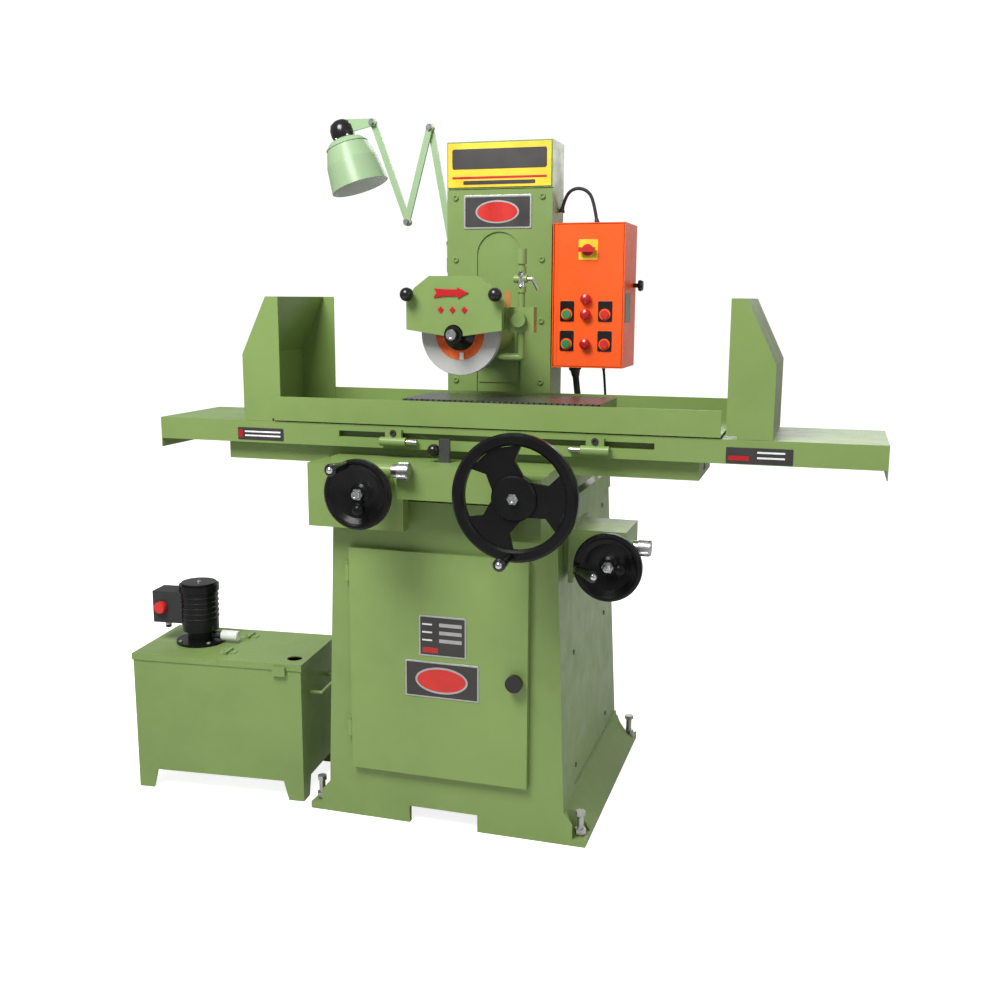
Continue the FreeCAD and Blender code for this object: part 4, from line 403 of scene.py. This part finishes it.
def teeth(low, high, count):
    """Outline of a knurl or of cooling ribs round a centre."""
    points = []
    for k in range(count):
        for share, radius in ((0.0, low), (0.22, high), (0.5, high), (0.72, low)):
            angle = 2 * math.pi * (k + share) / count
            points.append((radius * math.cos(angle), radius * math.sin(angle)))
    return points


def screw(name, place, axis, size, body, look="green"):
    """Cap screw: a low dome with a round socket."""
    r = size / 2
    profile = [(0, r * 0.25), (r * 0.42, r * 0.25), (r * 0.5, r * 0.6), (r * 0.85, r * 0.6), (r, r * 0.45), (r, 0)]
    return turned(name, profile, place, axis, look, body)


def front_plate(name, size, place, look, body, radius=0.002):
    """Plate of (width, height, thickness) on a face that looks forward, at (x, y, z)."""
    width, height, depth = size
    return plate(name, width, height, depth, facing_front(*place), look, body, radius)


def front_oval(name, width, height, depth, place, look, body):
    return add(name, prism_mesh(oval(width, height), depth, facing_front(*place)), look, body)


# column: sign with plain bands, badge and cover screws
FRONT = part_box("column_cover")[0][1]
SIGN_FACE = FRONT - 0.003
BADGE_X, BADGE_Z = -0.0045, 1.5465
front_plate("sign_plate", (0.286, 0.114, 0.003), (0, FRONT, 1.668), "yellow", "machine")
front_plate("sign_band", (0.262, 0.052, 0.0012), (0, SIGN_FACE, 1.684), "dark_plate", "machine", 0.006)
front_plate("sign_line", (0.262, 0.006, 0.001), (0, SIGN_FACE, 1.636), "red", "machine", 0.001)
front_plate("sign_strip", (0.20, 0.010, 0.001), (0, SIGN_FACE, 1.623), "dark_plate", "machine", 0.003)
front_plate("name_frame", (0.190, 0.088, 0.0022), (BADGE_X, FRONT, BADGE_Z), "plate_silver", "machine", 0.004)
front_plate("name_field", (0.180, 0.078, 0.001), (BADGE_X, FRONT - 0.0022, BADGE_Z), "dark_plate", "machine",
            0.003)
BADGE_FACE = FRONT - 0.0032
front_oval("name_oval", 0.112, 0.052, 0.0012, (BADGE_X, BADGE_FACE, BADGE_Z), "red", "machine")
front_oval("name_ring", 0.122, 0.060, 0.0006, (BADGE_X, BADGE_FACE, BADGE_Z), "plate_silver", "machine")
for side, x in (("left", -0.1225), ("right", 0.1195)):
    for number, z in enumerate((1.585, 1.422, 1.260, 1.096)):
        screw(f"cover_screw_{side}_{number}", (x, FRONT, z), FORWARD, 0.016, "machine")

# wheel guard: arrow for the turning direction, three plain marks and knobs
GUARD = -0.277
ARROW = [(-0.047, -0.008), (-0.040, 0.000), (-0.047, 0.012), (-0.020, 0.009), (0.012, 0.009), (0.012, 0.014),
         (0.041, 0.000), (0.014, -0.014), (0.014, -0.008), (-0.018, -0.008), (-0.047, -0.012)]
DIAMOND = [(0, -0.009), (0.008, 0), (0, 0.009), (-0.008, 0)]
add("turning_arrow", prism_mesh(ARROW, 0.003, facing_front(-0.002, GUARD, 1.331)), "lens_red", "head", 0.0008)
for number, x in enumerate((-0.032, -0.002, 0.028)):
    add(f"guard_mark_{number}", prism_mesh(DIAMOND, 0.002, facing_front(x, GUARD, 1.291)), "lens_red", "head",
        0.0005)
for side, x in (("left", -0.111), ("right", 0.111)):
    ball(f"guard_knob_{side}", 0.0168, (x, -0.299, 1.327), FORWARD, "black", "head")

# spindle nose, patch on the wheel's washer, coolant valve
NOSE = [(0, 0.0005), (0.0062, 0.0005), (0.0075, 0.0035), (0.0118, 0.0035), (0.0130, 0.0015), (0.0130, -0.0005)]
turned("nose_socket", NOSE, (0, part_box("spindle")[0][1], SPINDLE_Z), FORWARD, "chrome", "spindle")
plate("wheel_patch", 0.010, 0.017, 0.0004, facing_front(0.005, -0.2295, 1.179), "white", "spindle", 0.001, 0)
VALVE = [(0.0096, 0), (0.0112, 0.002), (0.0112, 0.012), (0.0098, 0.014), (0.0098, 0.046), (0.0112, 0.048),
         (0.0112, 0.058), (0.0096, 0.060)]
turned("valve_sleeve", VALVE, (0.150, -0.207, 1.333), UP, "chrome", "head")
for number, z in enumerate((1.345, 1.381)):
    ball(f"valve_screw_{number}", 0.0032, (0.150, -0.2175, z), FORWARD, "dark_steel", "head")
front_plate("pipe_label", (0.016, 0.042, 0.001), (0.1235, -0.235, 1.317), "brown", "head", 0.006)

# control box: plates round the switch and buttons, signal lenses, rating plate and catch
FACE = 0.096
BOX_SIDE = 0.344
front_plate("switch_plate", (0.052, 0.053, 0.0015), (0.2465, FACE, 1.4455), "yellow", "control_door", 0.004)
for number, (x, z) in enumerate(((0.192, 1.278), (0.192, 1.200), (0.295, 1.278), (0.295, 1.200))):
    front_plate(f"button_plate_{number}", (0.038, 0.054, 0.0018), (x, FACE, z + 0.008), "black", "control_door",
                0.004)
LENS = [(0.0142, 0), (0.0142, 0.006), (0.0125, 0.010), (0.007, 0.013), (0, 0.014)]
for number, z in enumerate((1.200, 1.278, 1.318)):
    turned(f"signal_lens_{number}", LENS, (0.2435, 0.0884, z), FORWARD, "lens_red", "control_door")
plate("rating_plate", 0.075, 0.077, 0.0012, facing_right(BOX_SIDE, 0.155, 1.2955), "grey", "machine")
turned("key_knob", [(0.006, 0), (0.006, 0.012), (0.014, 0.014), (0.016, 0.02), (0.013, 0.026), (0, 0.028)],
       (BOX_SIDE, 0.235, 1.355), RIGHT, "black", "machine")

# cabinet door: rating plate with bars, and the lower badge
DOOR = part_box("cabinet_door")[0][1]
FRAME_THICK, FIELD_THICK, PRINT = 0.0016, 0.0008, 0.0006
FIELD = DOOR - FRAME_THICK
PRINTED = FIELD - FIELD_THICK
RATING_X, RATING_Z = 0.007, 0.5075
LOWER_X, LOWER_Z = 0.0045, 0.3955
front_plate("rating_frame", (0.122, 0.103, FRAME_THICK), (RATING_X, DOOR, RATING_Z), "plate_silver",
            "cabinet_door", 0.003)
front_plate("rating_field", (0.114, 0.095, FIELD_THICK), (RATING_X, FIELD, RATING_Z), "dark_plate", "cabinet_door")
for number in range(3):
    z = 0.537 - 0.020 * number
    front_plate(f"rating_line_{number}", (0.058, 0.009, PRINT), (0.028, PRINTED, z), "plate_silver",
                "cabinet_door", 0.001)
    front_plate(f"rating_bar_{number}", (0.026, 0.004, PRINT), (-0.032, PRINTED, z), "white", "cabinet_door",
                0.001)
front_plate("rating_red", (0.040, 0.014, PRINT), (-0.024, PRINTED, 0.472), "lens_red", "cabinet_door", 0.002)
front_plate("door_badge_frame", (0.191, 0.093, FRAME_THICK), (LOWER_X, DOOR, LOWER_Z), "plate_silver",
            "cabinet_door", 0.003)
front_plate("door_badge_field", (0.183, 0.085, FIELD_THICK), (LOWER_X, FIELD, LOWER_Z), "dark_plate",
            "cabinet_door")
front_oval("door_badge_ring", 0.136, 0.068, 0.0006, (LOWER_X, PRINTED, LOWER_Z), "plate_silver", "cabinet_door")
front_oval("door_badge_oval", 0.126, 0.058, 0.0012, (LOWER_X, PRINTED, LOWER_Z), "red", "cabinet_door")

# handwheels: hub nuts and the knurls of the fine-feed knobs
HUB_NUT = [(0, 0.0005), (0.0048, 0.0005), (0.0058, 0.0040), (0.0092, 0.0040), (0.0104, 0.0025), (0.0104, -0.0005)]
for name, place, body in (("traverse", (0.246, -0.612, 0.900), "traverse_wheel"),
                          ("cross", (-0.127, -0.583, 0.884), "cross_wheel"),
                          ("feed", (0.408, -0.382, 0.709), "feed_wheel")):
    turned(f"{name}_hub_nut", HUB_NUT, place, FORWARD, "chrome", body)
for name, x, y, z in (("feed", 0.4755, -0.3355, 0.753), ("cross", -0.0595, -0.4885, 0.928)):
    add(f"{name}_knurl", prism_mesh(teeth(0.0189, 0.0199, 40), 0.022, facing_right(x, y, z)), "knurled",
        f"{name}_fine_knob")

# ends of the grips, ball of the stop lever, plungers and screws of the trip dogs
for name, place in (("traverse", (0.2394, -0.6850, 0.7737)), ("cross", (-0.1501, -0.6630, 0.9511)),
                    ("feed", (0.3905, -0.4505, 0.7041))):
    ball(f"{name}_grip_end", 0.0088, place, FORWARD, "chrome", f"{name}_handle")
ball("stop_grip", 0.0156, (-0.0155, -0.377, 0.9633), FORWARD, "black", "stop_lever")
PLUNGER = [(0.0060, 0), (0.0068, 0.001), (0.0068, 0.027), (0.0060, 0.028), (0, 0.028)]
for name, x in (("left", -0.0965), ("right", 0.3055)):
    turned(f"{name}_plunger", PLUNGER, (x, -0.3473, 0.976), RIGHT, "knurled", f"{name}_dog")
DOG_SCREW = [(0, 0.0005), (0.003, 0.0005), (0.004, 0.003), (0.0075, 0.003), (0.0085, 0.001), (0.0085, 0)]
for name, x in (("left", -0.130), ("right", 0.367)):
    turned(f"{name}_dog_screw", DOG_SCREW, (x, -0.3493, 0.997), FORWARD, "black_matt", f"{name}_dog")

# motor at the back of the head: ribs, terminal box and fan cowl
RIBS_BACK = 0.430
COWL_HOLES, COWL_HOLE_CIRCLE = 6, 0.045
add("motor_ribs", prism_mesh(teeth(0.0835, 0.0905, 36), 0.140, facing_front(0, RIBS_BACK, SPINDLE_Z)), "green",
    "head", 0.0006)
add("motor_box", prism_mesh(rounded(0.090, 0.070, 0.006), 0.030, facing_right(0.084, 0.350, SPINDLE_Z)), "green",
    "head", 0.003)
turned("fan_cowl", [(0.0845, 0), (0.0875, 0.002), (0.0875, 0.030), (0.0700, 0.0440), (0, 0.0440)],
       (0, 0.432, SPINDLE_Z), BACKWARD, "black_matt", "head")
# dark balls on the fan cowl: painted shade standing in for the dark inside its holes
for number in range(COWL_HOLES):
    angle = 2 * math.pi * number / COWL_HOLES
    spot = (COWL_HOLE_CIRCLE * math.cos(angle), 0.474, SPINDLE_Z + COWL_HOLE_CIRCLE * math.sin(angle))
    ball(f"cowl_hole_shade_{number}", 0.006, spot, BACKWARD, "shadow", "head")

# pump: red plug and pale gland on its terminal box, pale hose stub, screws of its flange, ribs
TANK_CORNER = (-0.874, -0.383)
TANK_TURN = math.radians(5.3)
PUMP_U, PUMP_V = 0.1295, 0.140
BOX_U = 0.033
FLANGE_SCREWS, FLANGE_CIRCLE = 4, 0.058


def at_tank(u, v, z):
    """A point of the tank, which stands turned on the floor: u along its width, v along its depth."""
    return Vector((TANK_CORNER[0] + u * math.cos(TANK_TURN) - v * math.sin(TANK_TURN),
                   TANK_CORNER[1] + u * math.sin(TANK_TURN) + v * math.cos(TANK_TURN), z))


TANK_RIGHT = at_tank(1, 0, 0) - at_tank(0, 0, 0)
TANK_FRONT = at_tank(0, -1, 0) - at_tank(0, 0, 0)
turned("pump_plug", [(0.0165, 0), (0.0170, 0.002), (0.0170, 0.012), (0.0140, 0.017), (0, 0.018)],
       at_tank(BOX_U, 0.106, 0.480), TANK_FRONT, "red", "machine")
turned("pump_gland", [(0.0080, 0), (0.0086, 0.001), (0.0086, 0.014), (0.0060, 0.023), (0, 0.023)],
       at_tank(BOX_U, PUMP_V, 0.437), DOWN, "white", "machine")
turned("pump_hose", [(0.0138, 0), (0.0144, 0.001), (0.0144, 0.046), (0.0120, 0.048), (0, 0.0465)],
       at_tank(0.193, PUMP_V, 0.400), TANK_RIGHT, "white", "machine")
for number in range(FLANGE_SCREWS):
    angle = math.radians(45) + 2 * math.pi * number / FLANGE_SCREWS
    spot = at_tank(PUMP_U + FLANGE_CIRCLE * math.cos(angle), PUMP_V + FLANGE_CIRCLE * math.sin(angle), 0.386)
    screw(f"pump_screw_{number}", spot, UP, 0.012, "machine", "zinc")
turned("pump_top_screw", [(0, 0.003), (0.005, 0.003), (0.006, 0)], at_tank(PUMP_U, PUMP_V, 0.549), UP, "zinc",
       "machine")
PUMP_RIB = [(0.0498, -0.002), (0.0520, -0.001), (0.0520, 0.001), (0.0498, 0.002)]
for number, z in enumerate((0.452, 0.467, 0.482, 0.497, 0.512)):
    turned(f"pump_rib_{number}", PUMP_RIB, at_tank(PUMP_U, PUMP_V, z), UP, "black", "machine")

# base: panel screws on both tapered sides
BASE_HALF, BASE_TAPER, BASE_HEIGHT, PANEL_SINK = 0.314, 0.030, 0.835, 0.006
SIDE_SCREW = [(0, 0.004), (0.005, 0.004), (0.0075, 0.002), (0.0075, 0)]
SIDE_SPOTS = [(y, z) for z in (0.14, 0.44, 0.75) for y in (-0.20, 0.18)]
for side in (-1, 1):
    for number, (y, z) in enumerate(SIDE_SPOTS):
        reach = BASE_HALF - BASE_TAPER * z / BASE_HEIGHT - PANEL_SINK
        turned(f"side_screw_{side}_{number}", SIDE_SCREW, (side * reach, y, z), (side, 0, 0), "dark_steel",
               "machine")

# wing nameplates
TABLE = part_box("wing_covers")[0][1]
WING_THICK = 0.0014
WING_FACE = TABLE - WING_THICK
front_plate("left_wing_plate", (0.128, 0.031, WING_THICK), (-0.494, TABLE, 0.9795), "dark_plate", "table")
front_plate("right_wing_plate", (0.145, 0.036, WING_THICK), (0.7345, TABLE, 0.978), "dark_plate", "table")
for number in range(2):
    front_plate(f"left_wing_line_{number}", (0.100, 0.004, 0.0005), (-0.488, WING_FACE, 0.985 - 0.010 * number),
                "white", "table", 0.001)
    front_plate(f"right_wing_line_{number}", (0.060, 0.004, 0.0005), (0.760, WING_FACE, 0.986 - 0.012 * number),
                "white", "table", 0.001)
front_plate("left_wing_red", (0.012, 0.020, 0.0006), (-0.550, WING_FACE, 0.9795), "lens_red", "table", 0.002)
front_plate("right_wing_red", (0.045, 0.010, 0.0006), (0.690, WING_FACE, 0.972), "lens_red", "table", 0.001)

# lamp: bulb, white inside, black socket and pivot bolts
SHADE = (-0.477, 0.185, 1.742)
MOUTH_WAY, BACK_WAY = (0.3256, 0, -0.9455), (-0.3256, 0, 0.9455)
turned("lamp_bulb", [(0.011, 0), (0.013, 0.02), (0.026, 0.05), (0.029, 0.064), (0.024, 0.08), (0.012, 0.09),
                     (0, 0.092)], (-0.4796, 0.185, 1.7496), MOUTH_WAY, "white", "lamp_shade")
turned("shade_liner", [(0, -0.0095), (0.0437, -0.0095), (0.0570, 0.0030), (0.0720, 0.0476), (0.0800, 0.1185),
                       (0.0797, 0.1185), (0.0717, 0.0477), (0.0567, 0.0032), (0.0434, -0.0091), (0, -0.0091)],
       SHADE, MOUTH_WAY, "white", "lamp_shade")
turned("socket_body", [(0, 0.016), (0.024, 0.016), (0.031, 0.022), (0.034, 0.034), (0.0335, 0.050),
                       (0.028, 0.064), (0.016, 0.072), (0, 0.074)], SHADE, BACK_WAY, "black", "lamp_shade")
for number, (x, z) in enumerate(((-0.497, 1.757), (-0.463, 1.768))):
    ball(f"socket_screw_{number}", 0.0045, (x, 0.158, z), FORWARD, "chrome", "lamp_shade")
for number, (x, z, body) in enumerate(((-0.168, 1.470, "lamp_swivel"), (-0.227, 1.782, "lamp_middle_arm"),
                                       (-0.297, 1.530, "lamp_middle_arm"), (-0.399, 1.803, "lamp_shade"))):
    turned(f"pivot_bolt_{number}", [(0, 0.007), (0.006, 0.007), (0.0085, 0.004), (0.0085, 0)],
           (x, 0.1815, z), FORWARD, "chrome", body)


# ------------------------------------------------------------------ cables

def cable(node, points, diameter):
    curve = bpy.data.curves.new(node + "_line", "CURVE")
    curve.dimensions = "3D"
    spline = curve.splines.new("NURBS")
    spline.points.add(len(points) - 1)
    for point, place in zip(spline.points, points):
        point.co = (*place, 1)
    spline.order_u = 3
    spline.use_endpoint_u = True
    curve.bevel_depth = diameter / 2
    curve.bevel_resolution = 6
    curve.resolution_u = 24
    curve.materials.append(M["rubber"])
    item = bpy.data.objects.new(node + "_line", curve)
    bpy.context.scene.collection.objects.link(item)
    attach(item, "machine")
    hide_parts(node)
    return item


MOTOR = [(0.1515, 0.183, 1.548), (0.1605, 0.183, 1.588), (0.1835, 0.183, 1.611), (0.2175, 0.183, 1.608),
         (0.2405, 0.183, 1.580), (0.2505, 0.183, 1.5158)]
SUPPLY = [(0.196, 0.183, 1.1361), (0.204, 0.187, 1.045), (0.226, 0.191, 0.945), (0.222, 0.195, 0.8355)]
SIGNAL = [(0.275, 0.188, 1.1365), (0.283, 0.190, 1.062), (0.280, 0.192, 0.987), (0.270, 0.193, 0.911),
          (0.258, 0.195, 0.8356)]
GLAND = [(0.95, 0), (0.95, 0.5), (0.75, 0.7), (0.55, 1.6), (0.5, 1.6)]
for node, points, diameter in (("motor_cable", MOTOR, 0.009), ("supply_cable", SUPPLY, 0.018),
                               ("signal_cable", SIGNAL, 0.007)):
    item = cable(node, points, diameter)
    for end, (place, toward) in enumerate(((points[0], points[1]), (points[-1], points[-2]))):
        way = Vector(toward) - Vector(place)
        gland = [(diameter * radius, diameter * along) for radius, along in GLAND]
        turned(f"{node}_gland_{end}", gland, Vector(place), way, "black_matt", "machine")


# ------------------------------------------------------------------ floor and light

def make_stage():
    bpy.ops.mesh.primitive_plane_add(size=30, location=(0, 0, 0))
    floor = bpy.context.object
    floor.name = "floor"
    material, nodes, links, shader = new_material("floor_paint")
    shader.inputs["Base Color"].default_value = (0.7, 0.7, 0.7, 1)
    shader.inputs["Roughness"].default_value = 0.9
    shader.inputs["Specular IOR Level"].default_value = 0.1
    shader.inputs["Emission Color"].default_value = (1, 1, 1, 1)
    path = nodes.new("ShaderNodeLightPath")
    glow = nodes.new("ShaderNodeMath")
    glow.operation = "MULTIPLY"
    glow.inputs[1].default_value = 0.85
    links.new(path.outputs["Is Camera Ray"], glow.inputs[0])
    links.new(glow.outputs[0], shader.inputs["Emission Strength"])
    floor.data.materials.append(material)
    world = bpy.data.worlds.new("studio")
    world.use_nodes = True
    sky = world.node_tree.nodes["Background"]
    sky.inputs["Color"].default_value = (1, 1, 1, 1)
    path = world.node_tree.nodes.new("ShaderNodeLightPath")
    level = world.node_tree.nodes.new("ShaderNodeMapRange")
    level.inputs["To Min"].default_value = 0.42
    level.inputs["To Max"].default_value = 1.05
    world.node_tree.links.new(path.outputs["Is Camera Ray"], level.inputs["Value"])
    world.node_tree.links.new(level.outputs["Result"], sky.inputs["Strength"])
    bpy.context.scene.world = world
    for name, place, target, size, power in (
            ("key", (-0.7, -2.4, 3.6), (0, 0, 1.3), 1.6, 165),
            ("fill", (3.6, -1.8, 2.6), (0.2, 0, 1.0), 2.6, 14),
            ("rim", (0.5, 3.2, 3.0), (0, 0, 1.0), 2.5, 60)):
        data = bpy.data.lights.new(name, "AREA")
        data.size = size
        data.energy = power
        light = bpy.data.objects.new(name, data)
        light.location = place
        light.rotation_euler = (Vector(target) - Vector(place)).to_track_quat("-Z", "Y").to_euler()
        bpy.context.scene.collection.objects.link(light)


make_stage()
bpy.context.scene.view_settings.view_transform = "Standard"
